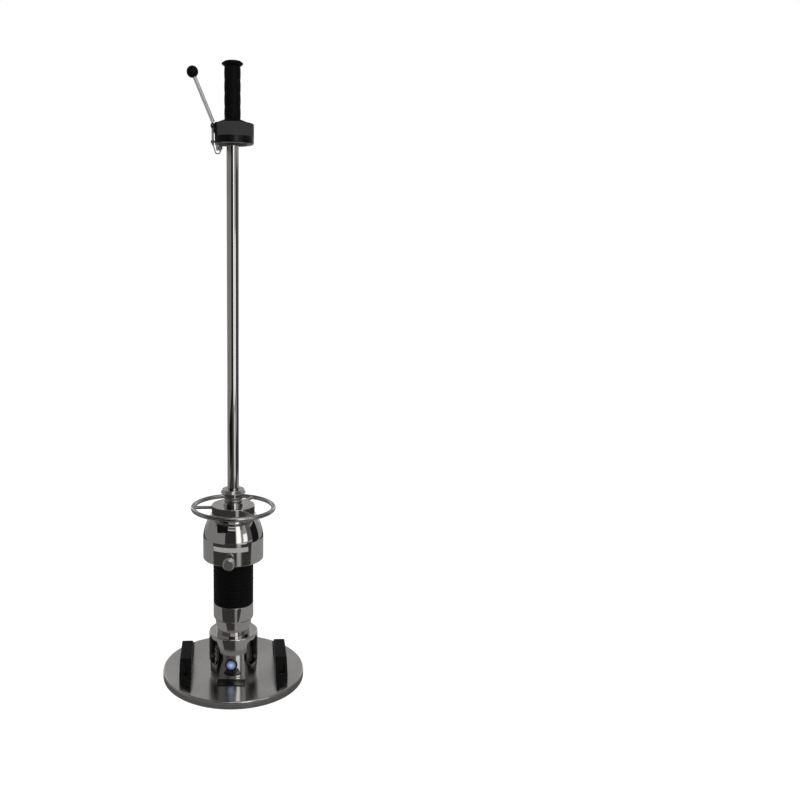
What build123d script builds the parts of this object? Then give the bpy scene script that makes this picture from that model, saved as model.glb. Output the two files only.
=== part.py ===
from build123d import *
import os
from math import cos, hypot, radians, sin, sqrt

# Lightweight deflectometer: a drop weight on a guide rod strikes a spring set that stands on a load plate.
# Millimetres, +Z up, the front is -Y, and the origin is the centre of the load plate's underside.

# Clearances shared by all fits
press_gap = 0.03
running_gap = 0.06
free_gap = 0.5

# Load plate
plate_diameter = 300
plate_thickness = 17
plate_top_round = 3
plate_bottom_round = 2

# Hub cage on the plate
hub_diameter = 103
hub_height = 84
hub_wall = 9
hub_top_thickness = 9
hub_top_round = 2.5
hub_azimuth = -93
pillar_count = 3
window_angle = 50
window_corner = 9
sill_height = 21

# Countersunk screws that hold the hub from below
hub_screw_count = 6
hub_screw_radius = 3
hub_screw_head_radius = 5.5
hub_screw_head_height = 3.5
hub_screw_bite = 13
hub_screw_sink = 0.5

# Electronics inside the hub
can_diameter = 70
can_wall = 2.5
can_lid_thickness = 3
sensor_diameter = 26
sensor_height = 30
sensor_flange = 3
sensor_flange_height = 4
board_thickness = 1.6
board_margin = 2
board_height = 44
cell_diameter = 14.5
cell_length = 48
cell_count = 2
cell_gap = 2
holder_floor = 2.5
holder_margin = 1.5

# Power button in the front pillar
button_azimuth = -95.5
button_height = 29
button_diameter = 22
button_travel = 1.5
button_stand = 3
button_crown = 1.2
button_gap = 0.3
bezel_diameter = 26
bezel_stand = 2.5
bezel_sink = 3
switch_diameter = 18
switch_length = 24

# Carry handles on the plate
handle_rim_gap = 17
handle_centre_gap = 50
handle_width = 24
handle_rise = 40
handle_top_inset = 44.7
handle_slope_inset = 4.7
handle_end_height = 9
handle_bar = 15
handle_arch_inset = 31.7
handle_arch_top_inset = 48.7
handle_bend_radius = 9
handle_edge_round = 2.5
handle_screw_inset = 20.7
handle_screw_radius = 3
handle_screw_head_radius = 5
handle_screw_head_height = 6
handle_screw_seat = 8
handle_screw_bite = 11
handle_screw_socket = 2.5

# Bare plate in front of the hub
tag_width = 58
tag_depth = 27
tag_thickness = 1.2
tag_corner = 2.5
tag_gap = 8
tag_azimuth = -94

# Centring stud, and foot and spring housing of the loading device
stud_diameter = 28
stud_straight = 4
foot_height = 31
foot_bottom_diameter = 72
foot_top_diameter = 77
socket_slack = 2
housing_diameter = 84.6
housing_height = 34
housing_round = 3.5
spigot_height = 8

# Guide rod and the screw in its lower end
rod_diameter = 24
rod_seat_depth = 26
rod_chamfer = 1.5
rod_screw_radius = 5
rod_screw_bite = 22
rod_screw_head_radius = 8
rod_screw_head_height = 8

# Spring set in its sleeve
spring_length = 91
disc_count = 16
disc_diameter = 64
disc_thickness = 3.1
disc_gap = 0.05
sleeve_diameter = 84
sleeve_wall = 4.5
sleeve_rib_count = 9
sleeve_rib_depth = 0.9
sleeve_rib_groove = 2
sleeve_ring_height = 10
sleeve_ring_round = 1.5

# Striker on top of the springs
striker_diameter = 80
striker_thickness = 7.6
striker_spigot_height = 6
striker_collar_diameter = 44
striker_collar_height = 21
collar_room = 2
collar_head_room = 3

# Drop weight
weight_diameter = 126
weight_straight = 48
shoulder_height = 49.5
shoulder_bulge = 3.4
boss_diameter = 89
boss_height = 17
boss_chamfer = 1.2
weight_chamfer = 2
weight_bore_diameter = 32
bush_length = 30

# Catch collar on the weight
collar_diameter = 43.5
collar_height = 5
neck_diameter = 37
neck_height = 21
flange_diameter = 54
flange_top_diameter = 45
flange_height = 7.5
flange_round = 0.8
collar_spigot_length = 20
collar_rod_room = 0.6

# Ring handle on the weight
ring_diameter = 166.8
ring_rod_diameter = 9.5
ring_rise = 10.5
spoke_count = 3
spoke_azimuth = 180
spoke_diameter = 7
spoke_sink = 9

# Transport lock in the weight
lock_azimuth = -97
lock_rise = 12
lock_pin_diameter = 8
lock_travel = 6.5
lock_bush_diameter = 14
lock_bush_length = 24
lock_flange_diameter = 18
lock_flange_thickness = 3
lock_flange_sink = 2.5
lock_knob_diameter = 24
lock_knob_thickness = 14
lock_knob_chamfer = 2.5
lock_knob_grip = 9
lock_groove_slack = 0.6
lock_groove_floor = 1

# Release head on the rod
drop_height = 687
skirt_drop = 4
skirt_height = 13
skirt_round = 2.5
head_diameter = 82
head_height = 24.5
head_flat = 33.7
head_round = 2
cap_diameter = 62
cap_edge = 2
cap_thickness = 7.5
cap_neck_diameter = 34
recess_diameter = 58
skirt_screw_count = 4
skirt_screw_azimuth = 45
skirt_screw_radius = 2.5
skirt_screw_head_radius = 4.5
skirt_screw_head_height = 5
skirt_screw_seat = 6
skirt_screw_bite = 14
skirt_screw_socket = 2
set_screw_azimuth = 90
set_screw_radius = 4
set_screw_length = 20
set_screw_rise = 13
set_screw_socket = 2.2

# Latch hook in the head
hook_thickness = 8
hook_lobe_radius = 5.5
hook_shank_width = 3.4
hook_shoulder = 9
hook_toe_tip = 5
hook_toe_root = 8
hook_toe_nose = 2
hook_arm = 30
hook_eye_drop = 3.5
hook_eye_inset = 4
hook_flange_gap = 1.3
hook_neck_gap = 0.7
hook_pin_radius = 2
hook_pin_reach = 12
slot_room = 1.5

# Release lever on the head's flat
lever_azimuth = 180
lever_sink = 4
lever_stand = 4.2
lever_bar = 4.4
lever_width = 9
lever_boss_radius = 3.2
lever_tail = 3.5
lever_bend = 9.2
lever_rod_diameter = 7.5
lever_ball_offset = 37.4
lever_ball_rise = 87.9
lever_ball_diameter = 22
lever_ball_grip = 14
lever_pin_radius = 1.5
lever_pin_stand = 0.8
bracket_base = 1.3
bracket_lug = 3
bracket_lug_radius = 4
bracket_depth = 12
bracket_width = 38
bracket_screw_spread = 28
bracket_screw_radius = 2
bracket_screw_head_radius = 3.6
bracket_screw_head_height = 2.2
bracket_screw_bite = 9
bracket_screw_socket = 1.5

# Pull wire between lever and hook
wire_radius = 1.1
wire_eye_radius = 2.8
wire_loop_drop = 8
wire_loop_radius = 4.2
wire_loop_inset = 6
wire_loop_outset = 0.6
eye_pin_radius = 1.2
eye_pin_head_radius = 2.2
eye_pin_head_height = 1
ferrule_radius = 2
ferrule_length = 2.6
ferrule_gap = 1.3

# Hand grip on the rod's upper end
grip_diameter = 30
grip_length = 105.5
grip_bulge = 0.7
grip_bulge_count = 4
grip_flange_diameter = 41
grip_flange_height = 9.5
grip_flange_lip = 4.4
grip_flange_edge = 1.6
grip_flange_round = 1
grip_crown = 5
grip_cover = 4

# Heights of the stack, from the ground up
hub_top = plate_thickness + hub_height
hub_ceiling = hub_top - hub_top_thickness
housing_bottom = hub_top + foot_height
housing_top = housing_bottom + housing_height
spigot_top = housing_top + spigot_height
striker_bottom = housing_top + spring_length
striker_top = striker_bottom + striker_thickness
counterbore_top = striker_top + striker_collar_height + collar_head_room
shoulder_bottom = striker_top + weight_straight
boss_bottom = shoulder_bottom + shoulder_height
boss_top = boss_bottom + boss_height
flange_under = boss_top + collar_height + neck_height
flange_top = flange_under + flange_height
toe_top = flange_under + drop_height
skirt_bottom = toe_top + skirt_drop
head_bottom = skirt_bottom + skirt_height
head_top = head_bottom + head_height
cap_top = head_top + cap_thickness
grip_top = cap_top + grip_length
rod_bottom = housing_top - rod_seat_depth
rod_top = grip_top - grip_cover

# Radii
plate_radius = plate_diameter / 2
handle_end_radius = plate_radius - handle_rim_gap
handle_offset = plate_radius - handle_centre_gap
handle_reach = sqrt(handle_end_radius**2 - handle_offset**2)
handle_screw_reach = handle_reach - handle_screw_inset
hub_radius = hub_diameter / 2
hub_inner_radius = hub_radius - hub_wall
can_radius = can_diameter / 2
can_inner_radius = can_radius - can_wall
stud_radius = stud_diameter / 2
rod_radius = rod_diameter / 2
rod_running_radius = rod_radius + running_gap
rod_press_radius = rod_radius + press_gap
housing_radius = housing_diameter / 2
sleeve_radius = sleeve_diameter / 2
spigot_radius = sleeve_radius - sleeve_wall
weight_radius = weight_diameter / 2
weight_bore = weight_bore_diameter / 2
boss_radius = boss_diameter / 2
counterbore_radius = striker_collar_diameter / 2 + collar_room
neck_radius = neck_diameter / 2
flange_radius = flange_diameter / 2
ring_radius = ring_diameter / 2
head_radius = head_diameter / 2
recess_radius = recess_diameter / 2

os.makedirs("parts", exist_ok=True)


def keep(name, piece):
    """Label a finished piece and write it to its own file."""
    piece.part.label = name
    export_step(piece.part, f"parts/{name}.step")


def outline(*points):
    """Closed face in the upright plane y = 0 through (x, z) points."""
    with BuildSketch(Plane.XZ) as face:
        with BuildLine():
            Polyline(*points, close=True)
        make_face()
    return face.sketch


def band(inner, outer, bottom, top):
    """Upright section of a plain ring, or of a disc where the inner radius is 0."""
    return outline((inner, bottom), (outer, bottom), (outer, top), (inner, top))


def facing(azimuth, radius, height):
    """Plane that faces outwards from the upright axis, with its own y pointing up."""
    turn = radians(azimuth)
    outward = Vector(cos(turn), sin(turn), 0)
    origin = outward * radius + Vector(0, 0, height)
    return Plane(origin=origin, x_dir=(-sin(turn), cos(turn), 0), z_dir=outward)


def front_plane(y):
    """Upright plane at depth y that faces the front, with its own x and y along X and Z."""
    return Plane.XZ.offset(-y)


def cap_screw(shank, bite, head, head_height, socket):
    """Screw about its own axis: the head stands on z = 0 and the shank points down."""
    with BuildPart() as screw:
        with BuildSketch():
            Circle(head)
        extrude(amount=head_height)
        with BuildSketch():
            Circle(shank)
        extrude(amount=-bite)
        with BuildSketch(Plane.XY.offset(head_height)):
            RegularPolygon(socket, 6)
        extrude(amount=-head_height / 2, mode=Mode.SUBTRACT)
    return screw.part


# Load plate, drilled from below for the hub and from above for the handles
hub_screw_circle = hub_radius - hub_wall / 2
hub_screw_top = plate_thickness + hub_screw_bite
hub_screw_taper_top = hub_screw_sink + hub_screw_head_height
with BuildPart() as hub_screw_hole:
    revolve(
        outline(
            (0, 0),
            (hub_screw_head_radius + press_gap, 0),
            (hub_screw_head_radius + press_gap, hub_screw_sink),
            (hub_screw_radius + press_gap, hub_screw_taper_top),
            (hub_screw_radius + press_gap, hub_screw_top),
            (0, hub_screw_top),
        ),
        axis=Axis.Z,
    )
with BuildPart() as hub_screw:
    revolve(
        outline(
            (0, hub_screw_sink),
            (hub_screw_head_radius, hub_screw_sink),
            (hub_screw_radius, hub_screw_taper_top),
            (hub_screw_radius, hub_screw_top),
            (0, hub_screw_top),
        ),
        axis=Axis.Z,
    )
with BuildPart() as load_plate:
    with BuildSketch():
        Circle(plate_radius)
    extrude(amount=plate_thickness)
    fillet(load_plate.edges().group_by(Axis.Z)[-1], plate_top_round)
    fillet(load_plate.edges().group_by(Axis.Z)[0], plate_bottom_round)
    with PolarLocations(hub_screw_circle, hub_screw_count):
        add(hub_screw_hole.part, mode=Mode.SUBTRACT)
    with BuildSketch(Plane.XY.offset(plate_thickness)):
        with GridLocations(2 * handle_offset, 2 * handle_screw_reach, 2, 2):
            Circle(handle_screw_radius + press_gap)
    extrude(amount=-(handle_screw_bite - handle_screw_seat) - press_gap, mode=Mode.SUBTRACT)
keep("load_plate", load_plate)

with BuildPart() as hub_screws:
    with PolarLocations(hub_screw_circle, hub_screw_count):
        add(hub_screw.part)
keep("hub_screws", hub_screws)

# Hub cage: a thick tube with a top, cut by windows that leave upright pillars
button_z = plate_thickness + button_height
bezel_seat = hub_radius - bezel_sink
window_bottom = plate_thickness + sill_height
window_height = hub_ceiling - window_bottom
window_width = 2 * hub_radius * sin(radians(window_angle / 2))
pillar_pitch = 360 / pillar_count
with BuildPart() as hub_cage:
    revolve(
        outline(
            (hub_inner_radius, plate_thickness),
            (hub_radius, plate_thickness),
            (hub_radius, hub_top),
            (stud_radius + press_gap, hub_top),
            (stud_radius + press_gap, hub_ceiling),
            (hub_inner_radius, hub_ceiling),
        ),
        axis=Axis.Z,
    )
    fillet(hub_cage.edges().group_by(Axis.Z)[-1].sort_by(SortBy.RADIUS)[-1], hub_top_round)
    for index in range(pillar_count):
        window_azimuth = hub_azimuth + (index + 0.5) * pillar_pitch
        with BuildSketch(facing(window_azimuth, 0, window_bottom + window_height / 2)):
            RectangleRounded(window_width, window_height, window_corner)
        extrude(amount=hub_diameter, mode=Mode.SUBTRACT)
    with BuildSketch(facing(button_azimuth, 0, button_z)):
        Circle(switch_diameter / 2 + press_gap)
    extrude(amount=hub_diameter, mode=Mode.SUBTRACT)
    with BuildSketch(facing(button_azimuth, bezel_seat, button_z)):
        Circle(bezel_diameter / 2 + press_gap)
    extrude(amount=hub_diameter, mode=Mode.SUBTRACT)
    with PolarLocations(hub_screw_circle, hub_screw_count):
        add(hub_screw_hole.part, mode=Mode.SUBTRACT)
keep("hub_cage", hub_cage)

# Power switch: a bezel let into the pillar, the switch body behind it and the lit button in it
with BuildPart() as button_bezel:
    with BuildSketch(facing(button_azimuth, bezel_seat, button_z)):
        Circle(bezel_diameter / 2)
        Circle(button_diameter / 2 + button_gap, mode=Mode.SUBTRACT)
    extrude(amount=bezel_sink + bezel_stand)
keep("button_bezel", button_bezel)

with BuildPart() as switch_body:
    with BuildSketch(facing(button_azimuth, bezel_seat, button_z)):
        Circle(switch_diameter / 2)
    extrude(amount=-switch_length)
keep("switch_body", switch_body)

button_seat = bezel_seat + button_travel + button_gap
with BuildPart() as power_button:
    with BuildSketch(facing(button_azimuth, button_seat, button_z)):
        Circle(button_diameter / 2)
    extrude(amount=hub_radius + button_stand - button_seat)
    fillet(power_button.faces().sort_by(Axis.Y)[0].edges(), button_crown)
keep("power_button", power_button)

# Electronics can with its lid, sensor, board and cells
can_top = hub_ceiling - can_lid_thickness
with BuildPart() as electronics_can:
    revolve(band(can_inner_radius, can_radius, plate_thickness, can_top), axis=Axis.Z)
    with BuildSketch(facing(button_azimuth, 0, button_z)):
        Circle(switch_diameter / 2 + free_gap)
    extrude(amount=hub_diameter, mode=Mode.SUBTRACT)
keep("electronics_can", electronics_can)

with BuildPart() as can_lid:
    revolve(band(0, can_radius, can_top, hub_ceiling), axis=Axis.Z)
keep("can_lid", can_lid)

sensor_radius = sensor_diameter / 2
with BuildPart() as motion_sensor:
    revolve(
        outline(
            (0, plate_thickness),
            (sensor_radius + sensor_flange, plate_thickness),
            (sensor_radius + sensor_flange, plate_thickness + sensor_flange_height),
            (sensor_radius, plate_thickness + sensor_flange_height),
            (sensor_radius, plate_thickness + sensor_height),
            (0, plate_thickness + sensor_height),
        ),
        axis=Axis.Z,
    )
keep("motion_sensor", motion_sensor)

board_bottom = plate_thickness + board_height
board_top = board_bottom + board_thickness
with BuildPart() as circuit_board:
    revolve(band(0, can_inner_radius - board_margin, board_bottom, board_top), axis=Axis.Z)
keep("circuit_board", circuit_board)

cell_pitch = cell_diameter + cell_gap
cell_axis_z = board_top + holder_floor + cell_diameter / 2
with BuildPart() as battery_holder:
    with BuildSketch(Plane.XY.offset(board_top)):
        Rectangle(cell_count * cell_pitch, cell_length + 2 * holder_margin)
    extrude(amount=holder_floor + cell_diameter / 2)
    with BuildSketch(front_plane(-cell_length / 2)):
        with Locations((0, cell_axis_z)):
            with GridLocations(cell_pitch, 0, cell_count, 1):
                Circle(cell_diameter / 2 + press_gap)
    extrude(amount=-cell_length, mode=Mode.SUBTRACT)
keep("battery_holder", battery_holder)

with BuildPart() as battery_cells:
    with BuildSketch(front_plane(-cell_length / 2 + press_gap)):
        with Locations((0, cell_axis_z)):
            with GridLocations(cell_pitch, 0, cell_count, 1):
                Circle(cell_diameter / 2)
    extrude(amount=-cell_length + 2 * press_gap)
keep("battery_cells", battery_cells)

# Bow-shaped carry handles, their ends trimmed to a circle inside the plate's rim
handle_top = plate_thickness + handle_rise
handle_foot_top = plate_thickness + handle_end_height
handle_screw_floor = plate_thickness + handle_screw_seat
top_reach = handle_reach - handle_top_inset
slope_reach = handle_reach - handle_slope_inset
arch_reach = handle_reach - handle_arch_inset
arch_top_reach = handle_reach - handle_arch_top_inset
for side, name in ((-1, "carry_handle_left"), (1, "carry_handle_right")):
    handle_inside = side * handle_offset - handle_width / 2
    with BuildPart() as carry_handle:
        with BuildSketch(Plane.YZ.offset(handle_inside)) as bow:
            with BuildLine():
                Polyline(
                    (-handle_end_radius, plate_thickness),
                    (handle_end_radius, plate_thickness),
                    (handle_end_radius, handle_foot_top),
                    (slope_reach, handle_foot_top),
                    (top_reach, handle_top),
                    (-top_reach, handle_top),
                    (-slope_reach, handle_foot_top),
                    (-handle_end_radius, handle_foot_top),
                    close=True,
                )
            make_face()
            fillet(bow.vertices().group_by(Axis.Y)[-1], handle_bend_radius)
        extrude(amount=handle_width)
        with BuildSketch(Plane.YZ.offset(handle_inside)) as arch:
            with BuildLine():
                Polyline(
                    (-arch_reach, plate_thickness),
                    (arch_reach, plate_thickness),
                    (arch_top_reach, handle_top - handle_bar),
                    (-arch_top_reach, handle_top - handle_bar),
                    close=True,
                )
            make_face()
            fillet(arch.vertices().group_by(Axis.Y)[-1], handle_bend_radius)
        extrude(amount=handle_width, mode=Mode.SUBTRACT)
        side_edges = carry_handle.faces().filter_by(Axis.X).edges()
        upper_edges = side_edges.filter_by_position(Axis.Z, plate_thickness, handle_top, (False, True))
        fillet(upper_edges, handle_edge_round)
        with BuildSketch(Plane.XY.offset(plate_thickness)):
            Circle(handle_end_radius)
        extrude(amount=handle_rise, mode=Mode.INTERSECT)
        with BuildSketch(Plane.XY.offset(plate_thickness)):
            with Locations((side * handle_offset, 0)):
                with GridLocations(0, 2 * handle_screw_reach, 1, 2):
                    Circle(handle_screw_radius + press_gap)
        extrude(amount=handle_rise, mode=Mode.SUBTRACT)
        with BuildSketch(Plane.XY.offset(handle_screw_floor)):
            with Locations((side * handle_offset, 0)):
                with GridLocations(0, 2 * handle_screw_reach, 1, 2):
                    Circle(handle_screw_head_radius + free_gap)
        extrude(amount=handle_rise, mode=Mode.SUBTRACT)
    keep(name, carry_handle)

handle_screw = cap_screw(
    handle_screw_radius,
    handle_screw_bite,
    handle_screw_head_radius,
    handle_screw_head_height,
    handle_screw_socket,
)
with BuildPart() as handle_screws:
    with Locations((0, 0, handle_screw_floor)):
        with GridLocations(2 * handle_offset, 2 * handle_screw_reach, 2, 2):
            add(handle_screw)
keep("handle_screws", handle_screws)

# Bare plate on the load plate in front of the hub
with BuildPart() as blank_plate:
    with BuildSketch(Plane.XY.offset(plate_thickness)):
        with PolarLocations(hub_radius + tag_gap + tag_depth / 2, 1, tag_azimuth):
            RectangleRounded(tag_depth, tag_width, tag_corner)
    extrude(amount=tag_thickness)
keep("blank_plate", blank_plate)

# Centring stud pressed into the hub's top
dome_bottom = hub_top + stud_straight
with BuildPart() as centring_stud:
    with BuildSketch(Plane.XZ):
        with BuildLine():
            Polyline(
                (0, dome_bottom + stud_radius),
                (0, hub_ceiling),
                (stud_radius, hub_ceiling),
                (stud_radius, dome_bottom),
            )
            CenterArc((0, dome_bottom), stud_radius, 0, 90)
        make_face()
    revolve(axis=Axis.Z)
keep("centring_stud", centring_stud)

# Foot and spring housing, bored for the stud from below and for the rod from above
socket_radius = stud_radius + free_gap
socket_top = dome_bottom + stud_radius + socket_slack
screw_seat = socket_top + rod_screw_head_height
with BuildPart() as spring_housing:
    revolve(
        outline(
            (socket_radius, hub_top),
            (foot_bottom_diameter / 2, hub_top),
            (foot_top_diameter / 2, housing_bottom),
            (housing_radius, housing_bottom),
            (housing_radius, housing_top),
            (spigot_radius, housing_top),
            (spigot_radius, spigot_top),
            (rod_press_radius, spigot_top),
            (rod_press_radius, rod_bottom),
            (rod_screw_radius + press_gap, rod_bottom),
            (rod_screw_radius + press_gap, screw_seat),
            (rod_screw_head_radius + free_gap, screw_seat),
            (rod_screw_head_radius + free_gap, socket_top),
            (socket_radius, socket_top),
        ),
        axis=Axis.Z,
    )
    round_edges = spring_housing.edges().filter_by(GeomType.CIRCLE)
    step_edges = round_edges.filter_by_position(Axis.Z, housing_bottom, housing_bottom)
    fillet(step_edges.sort_by(SortBy.RADIUS)[-1], housing_round)
keep("spring_housing", spring_housing)

with BuildPart() as guide_rod:
    revolve(
        outline(
            (rod_screw_radius + press_gap, rod_bottom),
            (rod_radius - rod_chamfer, rod_bottom),
            (rod_radius, rod_bottom + rod_chamfer),
            (rod_radius, rod_top - rod_chamfer),
            (rod_radius - rod_chamfer, rod_top),
            (0, rod_top),
            (0, rod_bottom + rod_screw_bite),
            (rod_screw_radius + press_gap, rod_bottom + rod_screw_bite),
        ),
        axis=Axis.Z,
    )
keep("guide_rod", guide_rod)

with BuildPart() as rod_screw:
    revolve(band(0, rod_screw_head_radius, socket_top, screw_seat), axis=Axis.Z)
    revolve(band(0, rod_screw_radius, screw_seat, rod_bottom + rod_screw_bite), axis=Axis.Z)
keep("rod_screw", rod_screw)

# Disc springs, stacked cup to cup on the rod
stack_top = striker_bottom - striker_spigot_height
disc_pitch = (stack_top - spigot_top) / disc_count
disc_rise = disc_pitch - disc_thickness - disc_gap
disc_bore = rod_radius + free_gap
with BuildPart() as disc_springs:
    for index in range(disc_count):
        disc_bottom = spigot_top + index * disc_pitch
        inner_bottom = disc_bottom + disc_rise * (index % 2)
        outer_bottom = disc_bottom + disc_rise * (1 - index % 2)
        revolve(
            outline(
                (disc_bore, inner_bottom),
                (disc_diameter / 2, outer_bottom),
                (disc_diameter / 2, outer_bottom + disc_thickness),
                (disc_bore, inner_bottom + disc_thickness),
            ),
            axis=Axis.Z,
        )
keep("disc_springs", disc_springs)

# Ribbed rubber sleeve between its lower ring and the striker
sleeve_bottom = housing_top + sleeve_ring_height
with BuildPart() as sleeve_ring:
    revolve(band(spigot_radius + press_gap, sleeve_radius, housing_top, sleeve_bottom), axis=Axis.Z)
    outer_wall = sleeve_ring.faces().filter_by(GeomType.CYLINDER).sort_by(SortBy.AREA)[-1]
    fillet(outer_wall.edges(), sleeve_ring_round)
keep("sleeve_ring", sleeve_ring)

rib_pitch = (striker_bottom - sleeve_bottom) / sleeve_rib_count
rib_points = []
for index in range(sleeve_rib_count):
    rib_bottom = sleeve_bottom + index * rib_pitch
    groove_bottom = rib_bottom + rib_pitch - sleeve_rib_groove
    rib_points.append((sleeve_radius, rib_bottom))
    rib_points.append((sleeve_radius, groove_bottom))
    rib_points.append((sleeve_radius - sleeve_rib_depth, groove_bottom + sleeve_rib_groove / 2))
rib_points.append((sleeve_radius, striker_bottom))
with BuildPart() as spring_sleeve:
    revolve(
        outline(
            (spigot_radius + press_gap, sleeve_bottom),
            *rib_points,
            (spigot_radius + press_gap, striker_bottom),
        ),
        axis=Axis.Z,
    )
keep("spring_sleeve", spring_sleeve)

# Striker: a plate with a spigot for the sleeve and a grooved collar for the transport lock
lock_z = striker_top + lock_rise
lock_pin_radius = lock_pin_diameter / 2
lock_pin_inner = counterbore_radius + free_gap
groove_radius = lock_pin_inner - lock_travel - lock_groove_floor
groove_half = lock_pin_radius + lock_groove_slack
striker_collar_radius = striker_collar_diameter / 2
with BuildPart() as striker_plate:
    revolve(
        outline(
            (rod_running_radius, stack_top),
            (spigot_radius, stack_top),
            (spigot_radius, striker_bottom),
            (striker_diameter / 2, striker_bottom),
            (striker_diameter / 2, striker_top),
            (striker_collar_radius, striker_top),
            (striker_collar_radius, lock_z - groove_half),
            (groove_radius, lock_z - groove_half),
            (groove_radius, lock_z + groove_half),
            (striker_collar_radius, lock_z + groove_half),
            (striker_collar_radius, striker_top + striker_collar_height),
            (rod_running_radius, striker_top + striker_collar_height),
        ),
        axis=Axis.Z,
    )
keep("striker_plate", striker_plate)

# Drop weight: a turned bell with a boss on top, bored for its bushes and drilled for lock and spokes
ring_z = boss_bottom + ring_rise
spoke_inner = boss_radius - spoke_sink
spoke_azimuths = [spoke_azimuth + index * 360 / spoke_count for index in range(spoke_count)]
lock_seat = weight_radius - lock_flange_sink
lock_bush_inner = lock_seat - lock_bush_length
with BuildPart() as drop_weight:
    with BuildSketch(Plane.XZ):
        with BuildLine():
            Polyline(
                (boss_radius, boss_bottom),
                (boss_radius, boss_top - boss_chamfer),
                (boss_radius - boss_chamfer, boss_top),
                (weight_bore, boss_top),
                (weight_bore, counterbore_top),
                (counterbore_radius, counterbore_top),
                (counterbore_radius, striker_top),
                (weight_radius - weight_chamfer, striker_top),
                (weight_radius, striker_top + weight_chamfer),
                (weight_radius, shoulder_bottom),
            )
            SagittaArc((boss_radius, boss_bottom), (weight_radius, shoulder_bottom), shoulder_bulge)
        make_face()
    revolve(axis=Axis.Z)
    with BuildSketch(facing(lock_azimuth, 0, lock_z)):
        Circle(lock_pin_radius + free_gap)
    extrude(amount=weight_diameter, mode=Mode.SUBTRACT)
    with BuildSketch(facing(lock_azimuth, lock_bush_inner, lock_z)):
        Circle(lock_bush_diameter / 2 + press_gap)
    extrude(amount=weight_diameter, mode=Mode.SUBTRACT)
    with BuildSketch(facing(lock_azimuth, lock_seat, lock_z)):
        Circle(lock_flange_diameter / 2 + free_gap)
    extrude(amount=weight_diameter, mode=Mode.SUBTRACT)
    for azimuth in spoke_azimuths:
        with BuildSketch(facing(azimuth, spoke_inner, ring_z)):
            Circle(spoke_diameter / 2 + press_gap)
        extrude(amount=boss_diameter, mode=Mode.SUBTRACT)
keep("drop_weight", drop_weight)

# Guide bushes in the weight's bore
bush_outer = weight_bore - press_gap
collar_bottom = boss_top - collar_spigot_length
bush_bottoms = {"lower_bush": counterbore_top, "upper_bush": collar_bottom - bush_length}
for name, bush_bottom in bush_bottoms.items():
    with BuildPart() as guide_bush:
        revolve(band(rod_running_radius, bush_outer, bush_bottom, bush_bottom + bush_length), axis=Axis.Z)
    keep(name, guide_bush)

# Catch collar: the flange on its neck is what the latch hook holds
collar_bore = rod_radius + collar_rod_room
with BuildPart() as catch_collar:
    revolve(
        outline(
            (collar_bore, collar_bottom),
            (bush_outer, collar_bottom),
            (bush_outer, boss_top),
            (collar_diameter / 2, boss_top),
            (collar_diameter / 2, boss_top + collar_height),
            (neck_radius, boss_top + collar_height),
            (neck_radius, flange_under),
            (flange_radius, flange_under),
            (flange_top_diameter / 2, flange_top),
            (collar_bore, flange_top),
        ),
        axis=Axis.Z,
    )
    flange_wall = catch_collar.faces().filter_by(GeomType.CONE)
    fillet(flange_wall.edges(), flange_round)
keep("catch_collar", catch_collar)

# Ring handle on radial spokes, whose outer ends are saddled to the ring
with BuildPart() as lift_ring:
    with Locations((0, 0, ring_z)):
        Torus(ring_radius, ring_rod_diameter / 2)
keep("lift_ring", lift_ring)

with BuildPart() as ring_spokes:
    for azimuth in spoke_azimuths:
        with BuildSketch(facing(azimuth, spoke_inner, ring_z)):
            Circle(spoke_diameter / 2)
        extrude(amount=ring_radius - spoke_inner)
    with Locations((0, 0, ring_z)):
        Torus(ring_radius, ring_rod_diameter / 2 + press_gap, mode=Mode.SUBTRACT)
keep("ring_spokes", ring_spokes)

# Transport lock: a flanged bush, and a plunger with a knob that slides in it
lock_flange_outer = lock_seat + lock_flange_thickness
with BuildPart() as lock_bush:
    with BuildSketch(facing(lock_azimuth, lock_bush_inner, lock_z)):
        Circle(lock_bush_diameter / 2)
    extrude(amount=lock_flange_outer - lock_bush_inner)
    with BuildSketch(facing(lock_azimuth, lock_seat, lock_z)):
        Circle(lock_flange_diameter / 2)
    extrude(amount=lock_flange_thickness)
    with BuildSketch(facing(lock_azimuth, lock_bush_inner, lock_z)):
        Circle(lock_pin_radius + running_gap)
    extrude(amount=lock_flange_outer - lock_bush_inner, mode=Mode.SUBTRACT)
keep("lock_bush", lock_bush)

knob_inner = lock_flange_outer + lock_travel + free_gap
with BuildPart() as lock_plunger:
    with BuildSketch(facing(lock_azimuth, lock_pin_inner, lock_z)):
        Circle(lock_pin_radius)
    extrude(amount=knob_inner + lock_knob_grip - lock_pin_inner)
keep("lock_plunger", lock_plunger)

with BuildPart() as lock_knob:
    with BuildSketch(facing(lock_azimuth, knob_inner, lock_z)):
        Circle(lock_knob_diameter / 2)
    extrude(amount=lock_knob_thickness)
    chamfer(lock_knob.faces().sort_by(Axis.Y)[0].edges(), lock_knob_chamfer)
    with BuildSketch(facing(lock_azimuth, knob_inner, lock_z)):
        Circle(lock_pin_radius + press_gap)
    extrude(amount=lock_knob_grip, mode=Mode.SUBTRACT)
keep("lock_knob", lock_knob)

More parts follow.
